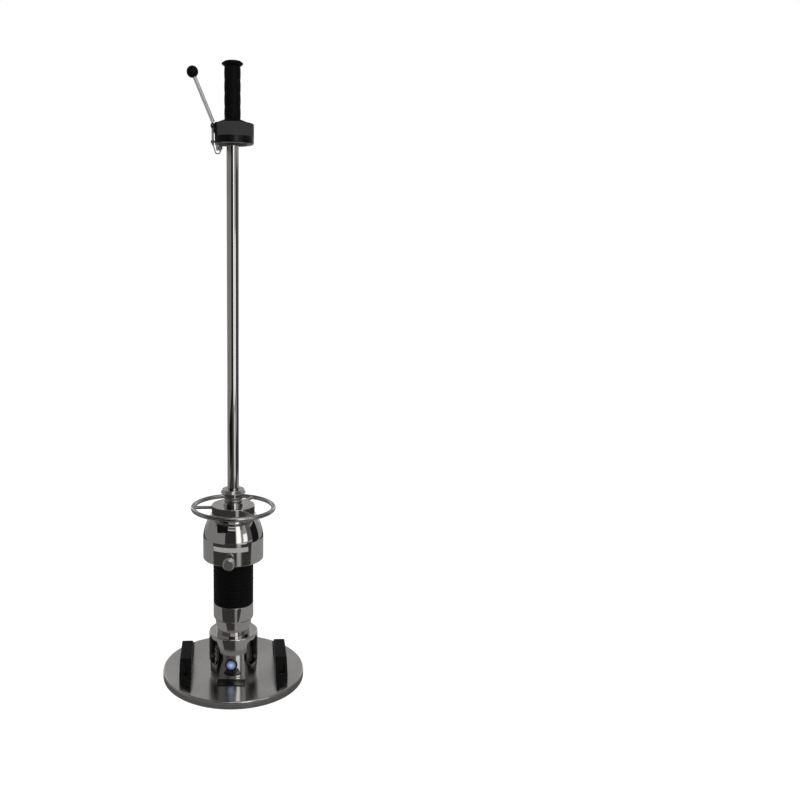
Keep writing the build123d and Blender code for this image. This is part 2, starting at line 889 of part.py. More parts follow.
# Latch hook: it hangs on a pin in the head, and its toe holds the flange from below
toe_x = -(neck_radius + hook_neck_gap)
shank_inner = -(flange_radius + hook_flange_gap)
shank_outer = shank_inner - hook_shank_width
hook_eye = (toe_x - hook_eye_inset, toe_top - hook_eye_drop)
hook_pivot = (hook_eye[0], hook_eye[1] + hook_arm)
with BuildPart() as latch_hook:
    with BuildSketch(front_plane(-hook_thickness / 2)):
        with Locations(hook_pivot):
            Circle(hook_lobe_radius)
        with BuildLine():
            Polyline(
                (hook_pivot[0] - hook_lobe_radius, hook_pivot[1]),
                (shank_outer, hook_pivot[1] - hook_shoulder),
                (shank_outer, toe_top - hook_toe_root + hook_toe_nose),
                (shank_outer + hook_toe_nose, toe_top - hook_toe_root),
                (toe_x, toe_top - hook_toe_tip),
                (toe_x, toe_top),
                (shank_inner, toe_top),
                (shank_inner, hook_pivot[1] - hook_shoulder),
                (hook_pivot[0], hook_pivot[1] - hook_lobe_radius),
                hook_pivot,
                close=True,
            )
        make_face()
        with Locations(hook_pivot):
            Circle(hook_pin_radius + running_gap, mode=Mode.SUBTRACT)
        with Locations(hook_eye):
            Circle(eye_pin_radius + press_gap, mode=Mode.SUBTRACT)
    extrude(amount=-hook_thickness)
keep("latch_hook", latch_hook)

# What the head's side is cut by: a flat for the lever and a slot for the hook
slot_width = hook_thickness + 2 * free_gap
slot_end = hook_pivot[0] + hook_lobe_radius + slot_room
slot_top = hook_pivot[1] + hook_lobe_radius + slot_room
with BuildPart() as side_cuts:
    with BuildSketch(Plane.XY.offset(skirt_bottom)):
        with Locations((-(head_flat + head_radius) / 2, 0)):
            Rectangle(head_radius - head_flat, head_diameter)
    extrude(amount=head_top - skirt_bottom)
    with BuildSketch(Plane.XY.offset(skirt_bottom)):
        with Locations(((slot_end - head_radius) / 2, 0)):
            Rectangle(slot_end + head_radius, slot_width)
    extrude(amount=slot_top - skirt_bottom)

# Head skirt: a ring with the recess that takes the flange, screwed to the head from below
skirt_screw_circle = (recess_radius + head_radius) / 2
skirt_screw_floor = skirt_bottom + skirt_screw_seat
with BuildPart() as head_skirt:
    revolve(band(recess_radius, head_radius, skirt_bottom, head_bottom), axis=Axis.Z)
    fillet(head_skirt.edges().group_by(Axis.Z)[0].sort_by(SortBy.RADIUS)[-1], skirt_round)
    add(side_cuts.part, mode=Mode.SUBTRACT)
    with BuildSketch(Plane.XY.offset(skirt_bottom)):
        with PolarLocations(skirt_screw_circle, skirt_screw_count, skirt_screw_azimuth):
            Circle(skirt_screw_head_radius + free_gap)
    extrude(amount=skirt_screw_seat, mode=Mode.SUBTRACT)
    with BuildSketch(Plane.XY.offset(skirt_bottom)):
        with PolarLocations(skirt_screw_circle, skirt_screw_count, skirt_screw_azimuth):
            Circle(skirt_screw_radius + press_gap)
    extrude(amount=skirt_height, mode=Mode.SUBTRACT)
keep("head_skirt", head_skirt)

skirt_screw = cap_screw(
    skirt_screw_radius,
    skirt_screw_bite,
    skirt_screw_head_radius,
    skirt_screw_head_height,
    skirt_screw_socket,
)
with BuildPart() as skirt_screws:
    with Locations(Plane(origin=(0, 0, skirt_screw_floor), x_dir=(1, 0, 0), z_dir=(0, 0, -1))):
        with PolarLocations(skirt_screw_circle, skirt_screw_count, skirt_screw_azimuth):
            add(skirt_screw)
keep("skirt_screws", skirt_screws)

# Release lever: a flat arm on the head's side, bent outwards into a rod
lever_pivot = (-(head_flat + lever_stand), head_top - lever_sink)
lever_eye = (lever_pivot[0], lever_pivot[1] - hook_arm)
lever_corner = (lever_pivot[0], lever_pivot[1] + lever_bend)
ball_centre = (lever_pivot[0] - lever_ball_offset, lever_corner[1] + lever_ball_rise)
bracket_bottom = lever_pivot[1] - bracket_depth
bracket_top = lever_pivot[1] - lever_boss_radius - free_gap
bracket_screw_z = (bracket_bottom + bracket_top) / 2

# Head body on the rod, drilled for the hook's pin, the set screw and the screws of skirt and bracket
hook_pin_back = sqrt(head_radius**2 - hook_pivot[0] ** 2) - free_gap
set_screw_z = head_bottom + set_screw_rise
with BuildPart() as head_body:
    revolve(band(rod_press_radius, head_radius, head_bottom, head_top), axis=Axis.Z)
    fillet(head_body.edges().group_by(Axis.Z)[-1].sort_by(SortBy.RADIUS)[-1], head_round)
    add(side_cuts.part, mode=Mode.SUBTRACT)
    with BuildSketch(front_plane(-hook_pin_reach)):
        with Locations(hook_pivot):
            Circle(hook_pin_radius + press_gap)
    extrude(amount=-(hook_pin_reach + head_radius), mode=Mode.SUBTRACT)
    with BuildSketch(facing(set_screw_azimuth, 0, set_screw_z)):
        Circle(set_screw_radius + press_gap)
    extrude(amount=head_radius, mode=Mode.SUBTRACT)
    with BuildSketch(Plane.XY.offset(skirt_screw_floor)):
        with PolarLocations(skirt_screw_circle, skirt_screw_count, skirt_screw_azimuth):
            Circle(skirt_screw_radius + press_gap)
    extrude(amount=skirt_screw_bite + press_gap, mode=Mode.SUBTRACT)
    with BuildSketch(facing(lever_azimuth, head_flat + bracket_base, bracket_screw_z)):
        with GridLocations(bracket_screw_spread, 0, 2, 1):
            Circle(bracket_screw_radius + press_gap)
    extrude(amount=-bracket_screw_bite - press_gap, mode=Mode.SUBTRACT)
keep("head_body", head_body)

with BuildPart() as set_screw:
    with BuildSketch(facing(set_screw_azimuth, rod_radius, set_screw_z)):
        Circle(set_screw_radius)
    extrude(amount=set_screw_length)
    with BuildSketch(facing(set_screw_azimuth, rod_radius + set_screw_length, set_screw_z)):
        RegularPolygon(set_screw_socket, 6)
    extrude(amount=-set_screw_length / 2, mode=Mode.SUBTRACT)
keep("set_screw", set_screw)

with BuildPart() as hook_pin:
    with BuildSketch(front_plane(-hook_pin_reach)):
        with Locations(hook_pivot):
            Circle(hook_pin_radius)
    extrude(amount=-(hook_pin_reach + hook_pin_back))
keep("hook_pin", hook_pin)

# Pivot bracket: a thin base plate below the pivot, and two lugs either side of the lever's arm
lug_inner = lever_width / 2 + free_gap
lug_outer = lug_inner + bracket_lug
with BuildPart() as lever_bracket:
    with BuildSketch(facing(lever_azimuth, head_flat, 0)):
        with Locations((0, bracket_screw_z)):
            Rectangle(bracket_width, bracket_top - bracket_bottom)
            with GridLocations(bracket_screw_spread, 0, 2, 1):
                Circle(bracket_screw_radius + press_gap, mode=Mode.SUBTRACT)
    extrude(amount=bracket_base)
    for lug_front in (-lug_outer, lug_inner):
        with BuildSketch(front_plane(lug_front)):
            with BuildLine():
                Polyline(
                    (-head_flat, bracket_bottom),
                    (-head_flat - bracket_base, bracket_bottom),
                    (lever_pivot[0] - bracket_lug_radius, lever_pivot[1]),
                    (lever_pivot[0], lever_pivot[1] + bracket_lug_radius),
                    (-head_flat, lever_pivot[1] + bracket_lug_radius),
                    close=True,
                )
            make_face()
            with Locations(lever_pivot):
                Circle(bracket_lug_radius)
                Circle(lever_pin_radius + press_gap, mode=Mode.SUBTRACT)
        extrude(amount=-bracket_lug)
keep("lever_bracket", lever_bracket)

bracket_screw = cap_screw(
    bracket_screw_radius,
    bracket_screw_bite,
    bracket_screw_head_radius,
    bracket_screw_head_height,
    bracket_screw_socket,
)
with BuildPart() as bracket_screws:
    with Locations(facing(lever_azimuth, head_flat + bracket_base, bracket_screw_z)):
        with GridLocations(bracket_screw_spread, 0, 2, 1):
            add(bracket_screw)
keep("bracket_screws", bracket_screws)

lever_pin_half = lug_outer + lever_pin_stand
with BuildPart() as lever_pin:
    with BuildSketch(front_plane(-lever_pin_half)):
        with Locations(lever_pivot):
            Circle(lever_pin_radius)
    extrude(amount=-2 * lever_pin_half)
keep("lever_pin", lever_pin)

lever_reach = hypot(ball_centre[0] - lever_corner[0], ball_centre[1] - lever_corner[1])
lever_rod_length = lever_reach - lever_ball_diameter / 2 + lever_ball_grip
rod_slope = Vector(ball_centre[0] - lever_corner[0], 0, ball_centre[1] - lever_corner[1])
rod_plane = Plane(origin=(lever_corner[0], 0, lever_corner[1]), x_dir=(0, 1, 0), z_dir=rod_slope)
arm_bottom = lever_eye[1] - lever_tail
with BuildPart() as release_lever:
    with BuildSketch(front_plane(-lever_width / 2)):
        with Locations((lever_pivot[0], (arm_bottom + lever_corner[1]) / 2)):
            Rectangle(lever_bar, lever_corner[1] - arm_bottom)
        with Locations(lever_pivot):
            Circle(lever_boss_radius)
            Circle(lever_pin_radius + running_gap, mode=Mode.SUBTRACT)
        with Locations(lever_eye):
            Circle(eye_pin_radius + press_gap, mode=Mode.SUBTRACT)
    extrude(amount=-lever_width)
    with BuildSketch(rod_plane):
        Circle(lever_rod_diameter / 2)
    extrude(amount=lever_rod_length)
    with Locations((lever_corner[0], 0, lever_corner[1])):
        Sphere(lever_rod_diameter / 2)
keep("release_lever", release_lever)

with BuildPart() as lever_ball:
    with Locations((ball_centre[0], 0, ball_centre[1])):
        Sphere(lever_ball_diameter / 2)
    with BuildSketch(rod_plane):
        Circle(lever_rod_diameter / 2 + press_gap)
    extrude(amount=lever_rod_length, mode=Mode.SUBTRACT)
keep("lever_ball", lever_ball)

# Eye pins at the lower ends of lever and hook, and the wire that hangs between them
wire_y = -(lever_width / 2 + free_gap + ferrule_radius)
eye_pin_front = wire_y - wire_radius - free_gap
eye_pins = {"lever_eye_pin": (lever_eye, lever_width / 2), "hook_eye_pin": (hook_eye, hook_thickness / 2)}
for name, (eye, pin_back) in eye_pins.items():
    with BuildPart() as eye_pin:
        with BuildSketch(front_plane(eye_pin_front)):
            with Locations(eye):
                Circle(eye_pin_radius)
        extrude(amount=eye_pin_front - pin_back)
        with BuildSketch(front_plane(eye_pin_front)):
            with Locations(eye):
                Circle(eye_pin_head_radius)
        extrude(amount=eye_pin_head_height)
    keep(name, eye_pin)

wire_start = (lever_eye[0], lever_eye[1] - wire_eye_radius)
wire_end = (hook_eye[0], hook_eye[1] - wire_eye_radius)
wire_bottom = wire_end[1] - wire_loop_drop
with BuildPart() as pull_wire:
    with BuildLine(front_plane(wire_y)) as wire_route:
        FilletPolyline(
            wire_start,
            (wire_start[0] + wire_loop_inset, wire_bottom),
            (wire_end[0] - wire_loop_outset, wire_bottom),
            wire_end,
            radius=wire_loop_radius,
        )
    with BuildSketch(Plane(origin=wire_route.line @ 0, z_dir=wire_route.line % 0)):
        Circle(wire_radius)
    sweep(path=wire_route.line)
    for eye in (lever_eye, hook_eye):
        with Locations(front_plane(wire_y)):
            with Locations(eye):
                Torus(wire_eye_radius, wire_radius)
keep("pull_wire", pull_wire)

lever_end = Plane(origin=wire_route.line @ 0, z_dir=wire_route.line % 0)
hook_end = Plane(origin=wire_route.line @ 1, z_dir=-(wire_route.line % 1))
with BuildPart() as wire_ferrules:
    for wire_tip in (lever_end, hook_end):
        with BuildSketch(wire_tip.offset(ferrule_gap)):
            Circle(ferrule_radius)
            Circle(wire_radius + press_gap, mode=Mode.SUBTRACT)
        extrude(amount=ferrule_length)
keep("wire_ferrules", wire_ferrules)

# Cap on the head: a flat cone that runs up to the grip
with BuildPart() as head_cap:
    revolve(
        outline(
            (rod_press_radius, head_top),
            (cap_diameter / 2, head_top),
            (cap_diameter / 2, head_top + cap_edge),
            (cap_neck_diameter / 2, cap_top),
            (rod_press_radius, cap_top),
        ),
        axis=Axis.Z,
    )
keep("head_cap", head_cap)

# Hand grip: rubber with shallow swells and an end flange
grip_radius = grip_diameter / 2
grip_flange_radius = grip_flange_diameter / 2
grip_flange_bottom = grip_top - grip_flange_height
swell_pitch = (grip_flange_bottom - cap_top) / grip_bulge_count
with BuildPart() as hand_grip:
    with BuildSketch(Plane.XZ) as grip_section:
        with BuildLine():
            Line((rod_press_radius, cap_top), (grip_radius, cap_top))
            for index in range(grip_bulge_count):
                swell_bottom = cap_top + index * swell_pitch
                ThreePointArc(
                    (grip_radius, swell_bottom),
                    (grip_radius + grip_bulge, swell_bottom + swell_pitch / 2),
                    (grip_radius, swell_bottom + swell_pitch),
                )
            Polyline(
                (grip_radius, grip_flange_bottom),
                (grip_flange_radius, grip_flange_bottom + grip_flange_lip),
                (grip_flange_radius, grip_flange_bottom + grip_flange_lip + grip_flange_edge),
                (grip_flange_radius - grip_crown, grip_top),
                (0, grip_top),
                (0, rod_top),
                (rod_press_radius, rod_top),
                (rod_press_radius, cap_top),
            )
        make_face()
        fillet(grip_section.vertices().group_by(Axis.X)[-1], grip_flange_round)
    revolve(axis=Axis.Z)
keep("hand_grip", hand_grip)

print("height", round(grip_top, 2), "free drop", drop_height)
print("lever pivot", lever_pivot, "hook pivot", hook_pivot)
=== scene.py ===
# %% [markdown]
# # Lightweight deflectometer
# A lightweight deflectometer tests how firm the ground is. A weight slides down a guide rod and strikes a
# set of springs, and a sensor in the hub on the load plate measures how far the plate sinks. The CAD
# frame gives every piece its place, so this lesson only dresses it: smoother meshes, finishes, light.

from math import acos, atan, atan2, cos, degrees, pi, radians, sin, tan

import bmesh
import bpy
from mathutils import Matrix, Vector


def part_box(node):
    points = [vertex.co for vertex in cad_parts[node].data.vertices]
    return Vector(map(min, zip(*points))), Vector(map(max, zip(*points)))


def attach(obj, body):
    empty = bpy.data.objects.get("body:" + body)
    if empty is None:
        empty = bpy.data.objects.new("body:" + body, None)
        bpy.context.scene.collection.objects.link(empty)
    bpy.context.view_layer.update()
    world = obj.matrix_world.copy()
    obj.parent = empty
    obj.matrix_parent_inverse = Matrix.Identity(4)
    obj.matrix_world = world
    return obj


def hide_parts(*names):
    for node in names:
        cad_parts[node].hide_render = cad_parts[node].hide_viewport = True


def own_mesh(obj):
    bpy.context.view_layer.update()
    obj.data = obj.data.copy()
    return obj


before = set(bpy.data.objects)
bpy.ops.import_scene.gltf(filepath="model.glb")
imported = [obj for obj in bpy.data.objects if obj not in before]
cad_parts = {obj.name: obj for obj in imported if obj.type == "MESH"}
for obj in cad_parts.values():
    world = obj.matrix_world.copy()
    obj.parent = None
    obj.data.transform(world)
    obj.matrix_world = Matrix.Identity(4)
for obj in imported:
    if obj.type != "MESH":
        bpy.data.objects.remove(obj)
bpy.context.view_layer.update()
scene = bpy.context.scene
scene.view_settings.view_transform = "Standard"
MM = 0.001

# %% [markdown]
# ## Node trees as Python sums
# Shaders and Geometry Nodes are both trees of sockets. A small class wraps one socket, so that `1 - mask`
# adds the Math node by itself, and one method adds every other kind of node: its type, its settings, its
# sockets.

# %% Sockets that can be added and multiplied


def operator(operation, swapped=False):
    """Method that adds a Math node on a socket and something else."""

    def method(self, other):
        return self.graph.math(operation, *((other, self) if swapped else (self, other)))

    return method


class Signal:
    """One output socket of a tree. Arithmetic on it adds Math nodes."""

    def __init__(self, graph, socket):
        self.graph = graph
        self.socket = socket

    def output(self, name):
        """Another output of the same node."""
        return Signal(self.graph, self.socket.node.outputs[name])

    __add__, __radd__ = operator("ADD"), operator("ADD", True)
    __sub__, __rsub__ = operator("SUBTRACT"), operator("SUBTRACT", True)
    __mul__, __rmul__ = operator("MULTIPLY"), operator("MULTIPLY", True)
    __truediv__, __rtruediv__ = operator("DIVIDE"), operator("DIVIDE", True)
    __mod__, __rmod__ = operator("MODULO"), operator("MODULO", True)
    __pow__, __rpow__ = operator("POWER"), operator("POWER", True)


print("sockets ready")

# %% A tree and its usual nodes


class Graph:
    """A node tree that is filled by one method."""

    def __init__(self, tree):
        self.tree = tree

    def node(self, kind, settings=None, sockets=None):
        made = self.tree.nodes.new(kind)
        for name, value in (settings or {}).items():
            setattr(made, name, value)
        for name, value in (sockets or {}).items():
            if isinstance(value, Signal):
                self.tree.links.new(value.socket, made.inputs[name])
            else:
                made.inputs[name].default_value = value
        return Signal(self, next((s for s in made.outputs if s.enabled), None)) if made.outputs else None

    def math(self, operation, *values):
        return self.node("ShaderNodeMath", {"operation": operation}, dict(enumerate(values)))

    def place(self):
        """The point on the piece, in metres, in the object's own frame."""
        return self.node("ShaderNodeTexCoord").output("Object")

    def point(self):
        """The three parts of that point."""
        return self.axes(self.place())

    def axes(self, vector):
        """The three parts of a vector."""
        parts = self.node("ShaderNodeSeparateXYZ", {}, {"Vector": vector})
        return parts, parts.output("Y"), parts.output("Z")

    def vector(self, x=0.0, y=0.0, z=0.0):
        return self.node("ShaderNodeCombineXYZ", {}, {"X": x, "Y": y, "Z": z})

    def noise(self, vector, scale, detail=3.0, roughness=0.5):
        sockets = {"Vector": vector, "Scale": scale, "Detail": detail, "Roughness": roughness}
        return self.node("ShaderNodeTexNoise", {}, sockets)

    def cloud(self, scale, detail=3.0, roughness=0.5):
        """Noise over the piece."""
        return self.noise(self.place(), scale, detail, roughness)

    def ramp(self, value, low, high, start=0.0, end=1.0):
        """Smooth step of a value from start to end while it goes from low to high."""
        sockets = {"Value": value, "From Min": low, "From Max": high, "To Min": start, "To Max": end}
        return self.node("ShaderNodeMapRange", {"interpolation_type": "SMOOTHSTEP"}, sockets)

    def band(self, value, low, high, soft):
        """1 while a value lies between low and high, with soft ends."""
        rise = self.ramp(value, low - soft, low + soft)
        return rise * self.ramp(value, high - soft, high + soft, 1.0, 0.0)

    def reach(self, x, y):
        """Distance from the upright axis."""
        return (x * x + y * y) ** 0.5

    def bearing(self, x, y):
        """Angle in degrees round the upright axis: 0 at the front, growing to the right."""
        return self.math("ARCTAN2", x, 0 - y) * (180 / pi)

    def seen(self):
        """1 for rays of the camera, of mirrors and of glass, 0 for the soft light between surfaces."""
        rays = self.node("ShaderNodeLightPath")
        hits = rays.output("Is Camera Ray") + rays.output("Is Glossy Ray")
        hits = hits + rays.output("Is Transmission Ray")
        return self.math("MINIMUM", hits, 1.0)

    def blend(self, factor, first, second):
        """Mix of two colours."""
        sockets = {"Factor": factor, 6: first, 7: second}
        return self.node("ShaderNodeMix", {"data_type": "RGBA"}, sockets)

    def bump(self, height, strength, distance):
        sockets = {"Height": height, "Strength": strength, "Distance": distance * MM}
        return self.node("ShaderNodeBump", {}, sockets)


print("node helpers ready")

# %% [markdown]
# ## Finishes
# The photo shows mirror-polished steel, a satin head, gloss black paint, matte mouldings and rubber. Each
# finish is a Principled shader. What varies over it, such as turning lines, smudges and worn edges, is
# drawn from the piece's own coordinates, so that it stays on the piece at every pose.

# %% Helpers for finishes
finishes = {}


def grey(value):
    return (value, value, value, 1.0)


def finish(build, name=None):
    """Make a material whose surface is what build(graph) returns."""
    name = name or build.__name__
    material = bpy.data.materials.new(name)
    material.use_nodes = True
    material.node_tree.nodes.clear()
    graph = Graph(material.node_tree)
    graph.node("ShaderNodeOutputMaterial", {}, {"Surface": build(graph)})
    finishes[name] = material
    return build


def principled(graph, colour, roughness, **sockets):
    """Principled shader; its other sockets are named in words joined by underscores."""
    named = {name.replace("_", " "): value for name, value in sockets.items()}
    if "Specular" in named:
        named["Specular IOR Level"] = named.pop("Specular")
    named.update({"Base Color": colour, "Roughness": roughness})
    return graph.node("ShaderNodeBsdfPrincipled", {}, named)


def turned_lines(graph, scale, detail=2.0):
    """Fine rings left by a lathe about the upright axis."""
    x, y, z = graph.point()
    return graph.noise(graph.vector(graph.reach(x, y), 0.0, z), scale, detail)


def edge_mask(graph, radius):
    """About 1 on sharp edges and 0 on open faces."""
    softened = graph.node("ShaderNodeBevel", {"samples": 4}, {"Radius": radius * MM})
    sockets = {0: softened, 1: graph.node("ShaderNodeNewGeometry").output("Normal")}
    along = graph.node("ShaderNodeVectorMath", {"operation": "DOT_PRODUCT"}, sockets).output("Value")
    return graph.ramp(1 - along, 0.01, 0.16)


def clouded(name, scale, dark, light, rough, spread, **sockets):
    """Grey finish whose tone and roughness drift together."""

    def build(graph):
        cloud = graph.cloud(scale, 4.0)
        tone = graph.blend(cloud, grey(dark), grey(light))
        return principled(graph, tone, rough + spread * cloud, **sockets)

    finish(build, name)


print("finish helpers ready")

# %% [markdown]
# Polished steel is nearly a mirror, so its looks come from the room round it. It needs a trace of turning
# lines, a few hazy wipes and faint smudges, or it looks like a computer's perfect chrome. The load plate
# was faced on a lathe: its fine rings stretch each mirror image along one direction, which an anisotropic
# shader does too.

# %% Polished metals
clean_steel, wiped_steel = (0.63, 0.617, 0.592, 1.0), (0.59, 0.578, 0.555, 1.0)
faced_steel, dull_steel = (0.6, 0.588, 0.565, 1.0), (0.53, 0.52, 0.5, 1.0)
strip_bottom, strip_top = 295.7 * MM, 305.5 * MM
strip_left, strip_right = -39.6, 28.7


def mirror(graph):
    """Colour, roughness and normal of polished steel."""
    lines = turned_lines(graph, 2600.0)
    haze = graph.ramp(graph.cloud(26.0, 5.0, 0.62), 0.44, 0.72)
    colour = graph.blend(haze, clean_steel, wiped_steel)
    return colour, 0.04 + 0.035 * haze + 0.015 * lines, graph.bump(lines, 0.008, 0.2)


@finish
def polished_steel(graph):
    colour, roughness, normal = mirror(graph)
    return principled(graph, colour, roughness, Metallic=1.0, Normal=normal)


@finish
def marked_steel(graph):
    """Polished steel with a blank pale strip printed round its front."""
    colour, roughness, normal = mirror(graph)
    x, y, z = graph.point()
    strip = graph.band(z, strip_bottom, strip_top, 0.3 * MM)
    strip = strip * graph.band(graph.bearing(x, y), strip_left, strip_right, 0.3)
    print_tone = graph.blend(graph.cloud(240.0, 4.0), grey(0.5), grey(0.72))
    colour = graph.blend(strip, colour, print_tone)
    return principled(graph, colour, roughness + 0.5 * strip, Metallic=1 - strip, Normal=normal)


@finish
def plate_steel(graph):
    lines = turned_lines(graph, 1500.0, 3.0)
    scuffs = graph.ramp(graph.cloud(60.0, 6.0, 0.7), 0.52, 0.74)
    haze = graph.ramp(graph.cloud(9.0, 4.0, 0.6), 0.42, 0.7)
    colour = graph.blend(haze, faced_steel, dull_steel)
    roughness = 0.17 + 0.02 * haze + 0.03 * scuffs + 0.02 * lines
    return principled(graph, colour, roughness, Metallic=1.0, Anisotropic=0.9, Anisotropic_Rotation=0.25)


print("polished metals:", sorted(finishes))

# %% [markdown]
# The other metals are duller. The head is dark satin, and its colour goes near black on the flat that
# carries the lever and a little way round its edges: painted shade at that edge. The lever is zinc-plated,
# and paler than bare steel. The ring is bent from bright bar, with faint draw lines and finger marks.
# Springs, bushes and can keep the lines of their making.

# %% Duller metals
clouded("bright_steel", 120.0, 0.66, 0.76, 0.34, 0.1, Metallic=1.0)
clouded("plated_steel", 120.0, 0.72, 0.82, 0.3, 0.1, Metallic=0.6)
clouded("screw_steel", 300.0, 0.35, 0.5, 0.26, 0.16, Metallic=1.0)
edge_shade_x, edge_shade_soft = -29.0 * MM, 0.7 * MM


@finish
def satin_head(graph):
    lines = turned_lines(graph, 3200.0)
    # The colour goes near black by the flat that carries the lever: painted shade at that edge.
    painted_edge_shade = graph.ramp(graph.point()[0], edge_shade_x - edge_shade_soft, edge_shade_x + edge_shade_soft, 1.0, 0.0)
    satin = graph.blend(graph.cloud(45.0, 4.0), grey(0.049), grey(0.058))
    colour, normal = graph.blend(painted_edge_shade, satin, grey(0.004)), graph.bump(lines, 0.05, 0.2)
    return principled(graph, colour, 0.55 + 0.1 * lines, Specular=0.15, Normal=normal)


@finish
def ring_steel(graph):
    marks = graph.cloud(55.0, 5.0, 0.65)
    colour, normal = graph.blend(marks, grey(0.44), grey(0.54)), graph.bump(graph.cloud(700.0), 0.02, 0.2)
    return principled(graph, colour, 0.17 + 0.1 * marks, Metallic=1.0, Normal=normal)


@finish
def dark_steel(graph):
    lines = turned_lines(graph, 1800.0)
    colour = graph.blend(lines, (0.075, 0.066, 0.055, 1.0), (0.14, 0.125, 0.105, 1.0))
    return principled(graph, colour, 0.3 + 0.2 * lines, Metallic=1.0, Normal=graph.bump(lines, 0.1, 0.3))


# The can's grey is kept darker than plain aluminium: painted shade for the inside of the hub.
@finish
def shade_darkened_can(graph):
    x, y, z = graph.point()
    brushed = graph.noise(graph.vector(x * 40.0, y * 40.0, z * 1400.0), 1.0)
    colour = graph.blend(brushed, grey(0.11), grey(0.16))
    return principled(graph, colour, 0.4 + 0.14 * brushed, Specular=0.3)


@finish
def bearing_bronze(graph):
    lines = turned_lines(graph, 1600.0)
    colour = graph.blend(lines, (0.5, 0.33, 0.13, 1.0), (0.62, 0.43, 0.2, 1.0))
    return principled(graph, colour, 0.3 + 0.12 * lines, Metallic=1.0)


print("metals:", sorted(finishes))

# %% [markdown]
# The blacks differ by how they catch the light: gloss paint has worn rims, mouldings have a fine grain
# and scuffs, and rubber is dull, with a little dust where it faces up.

# %% Black finishes
recess_wall, paint_foot, paint_soft = 29.3 * MM, 1096.3 * MM, 0.1 * MM


@finish
def gloss_black(graph, bare=0.0):
    peel = graph.cloud(420.0, 2.0)
    worn = edge_mask(graph, 0.8) * graph.ramp(graph.cloud(160.0, 4.0), 0.46, 0.7)
    paint = graph.blend(worn, grey(0.001), grey(0.08))
    metal = graph.blend(turned_lines(graph, 1400.0), grey(0.2), grey(0.28))
    roughness = 0.26 + 0.06 * peel + 0.2 * worn + 0.25 * bare
    normal = graph.bump(peel, 0.05, 0.4)
    return principled(graph, graph.blend(bare, paint, metal), roughness, Specular=0.35, Normal=normal)


@finish
def painted_skirt(graph):
    """Gloss black outside, bare metal in the recess and underneath."""
    x, y, z = graph.point()
    outside = graph.ramp(graph.reach(x, y), recess_wall - paint_soft, recess_wall + paint_soft)
    return gloss_black(graph, 1 - outside * graph.ramp(z, paint_foot - paint_soft, paint_foot + paint_soft))


@finish
def moulded_black(graph):
    grain = graph.cloud(2400.0, 2.0)
    scuff = graph.ramp(graph.cloud(75.0, 5.0, 0.65), 0.5, 0.75)
    worn = edge_mask(graph, 1.6) * graph.ramp(graph.cloud(190.0, 4.0), 0.42, 0.66)
    colour, normal = graph.blend(worn, grey(0.0035), grey(0.03)), graph.bump(grain, 0.15, 0.3)
    return principled(graph, colour, 0.46 + 0.12 * grain + 0.1 * scuff, Specular=0.14, Normal=normal)


@finish
def rubber_black(graph):
    grain = graph.cloud(1700.0)
    up = graph.axes(graph.node("ShaderNodeNewGeometry").output("Normal"))[2]
    dust = graph.ramp(up, 0.2, 0.95) * graph.ramp(graph.cloud(130.0, 4.0), 0.4, 0.75)
    colour = graph.blend(dust, (0.0036, 0.0035, 0.0033, 1.0), (0.02, 0.019, 0.018, 1.0))
    normal = graph.bump(grain, 0.15, 0.4)
    return principled(graph, colour, 0.5 + 0.2 * grain, Specular=0.12, Normal=normal)


print("finishes so far:", len(finishes))

# %% [markdown]
# ## Turning a profile
# Nearly everything here was made on a lathe, so one helper turns a profile about the upright axis. A
# corner may carry a rounding. Beside each rounding runs a very narrow flat, so that the smooth shading of
# the arc doesn't leak into the flats, where a mirror would show it.

# %% Profiles


def rounded(corners, steps=6, flat=0.03):
    """Points of a closed profile of (radius, height) or (radius, height, rounding) corners, in mm."""
    points = []
    for index, corner in enumerate(corners):
        here = Vector(corner[:2])
        if len(corner) == 2:
            points.append(here)
            continue
        before = (Vector(corners[index - 1][:2]) - here).normalized()
        after = (Vector(corners[(index + 1) % len(corners)][:2]) - here).normalized()
        half = before.angle(after) / 2
        reach = corner[2] / tan(half)
        centre = here + (before + after).normalized() * corner[2] / sin(half)
        start = here + before * reach - centre
        end = here + after * reach - centre
        sweep = atan2(start.x * end.y - start.y * end.x, start.dot(end))
        count = max(steps, round(abs(degrees(sweep)) / 6))
        points.append(here + before * (reach + flat))
        points += [centre + Matrix.Rotation(sweep * step / count, 2) @ start for step in range(count + 1)]
        points.append(here + after * (reach + flat))
    return points


def bowed(start, end, bulge, steps=24):
    """Points between two corners on an arc that swells to the right of the way from start to end."""
    start, end = Vector(start), Vector(end)
    half_chord = (end - start).length / 2
    opening = 2 * atan(bulge / half_chord)
    radius = half_chord / sin(opening)
    right = Vector(((end - start).y, (start - end).x)).normalized()
    centre = (start + end) / 2 - right * (radius - bulge)
    turns = [opening * (1 - 2 * step / steps) for step in range(1, steps)]
    return [tuple(centre + Matrix.Rotation(-turn, 2) @ (right * radius)) for turn in turns]


print("profiles ready")

# %% Lathe
break_angle = radians(32)


def shade(mesh):
    """Smooth shading that breaks at sharp edges."""
    mesh.polygons.foreach_set("use_smooth", [True] * len(mesh.polygons))
    mesh.set_sharp_from_angle(angle=break_angle)


def put(name, data):
    """New object in the scene."""
    made = bpy.data.objects.new(name, data)
    scene.collection.objects.link(made)
    return made


def new_piece(name, shape):
    """Turn a bmesh into an object of the scene."""
    bmesh.ops.recalc_face_normals(shape, faces=shape.faces)
    mesh = bpy.data.meshes.new(name)
    shape.to_mesh(mesh)
    shape.free()
    shade(mesh)
    return put(name, mesh)


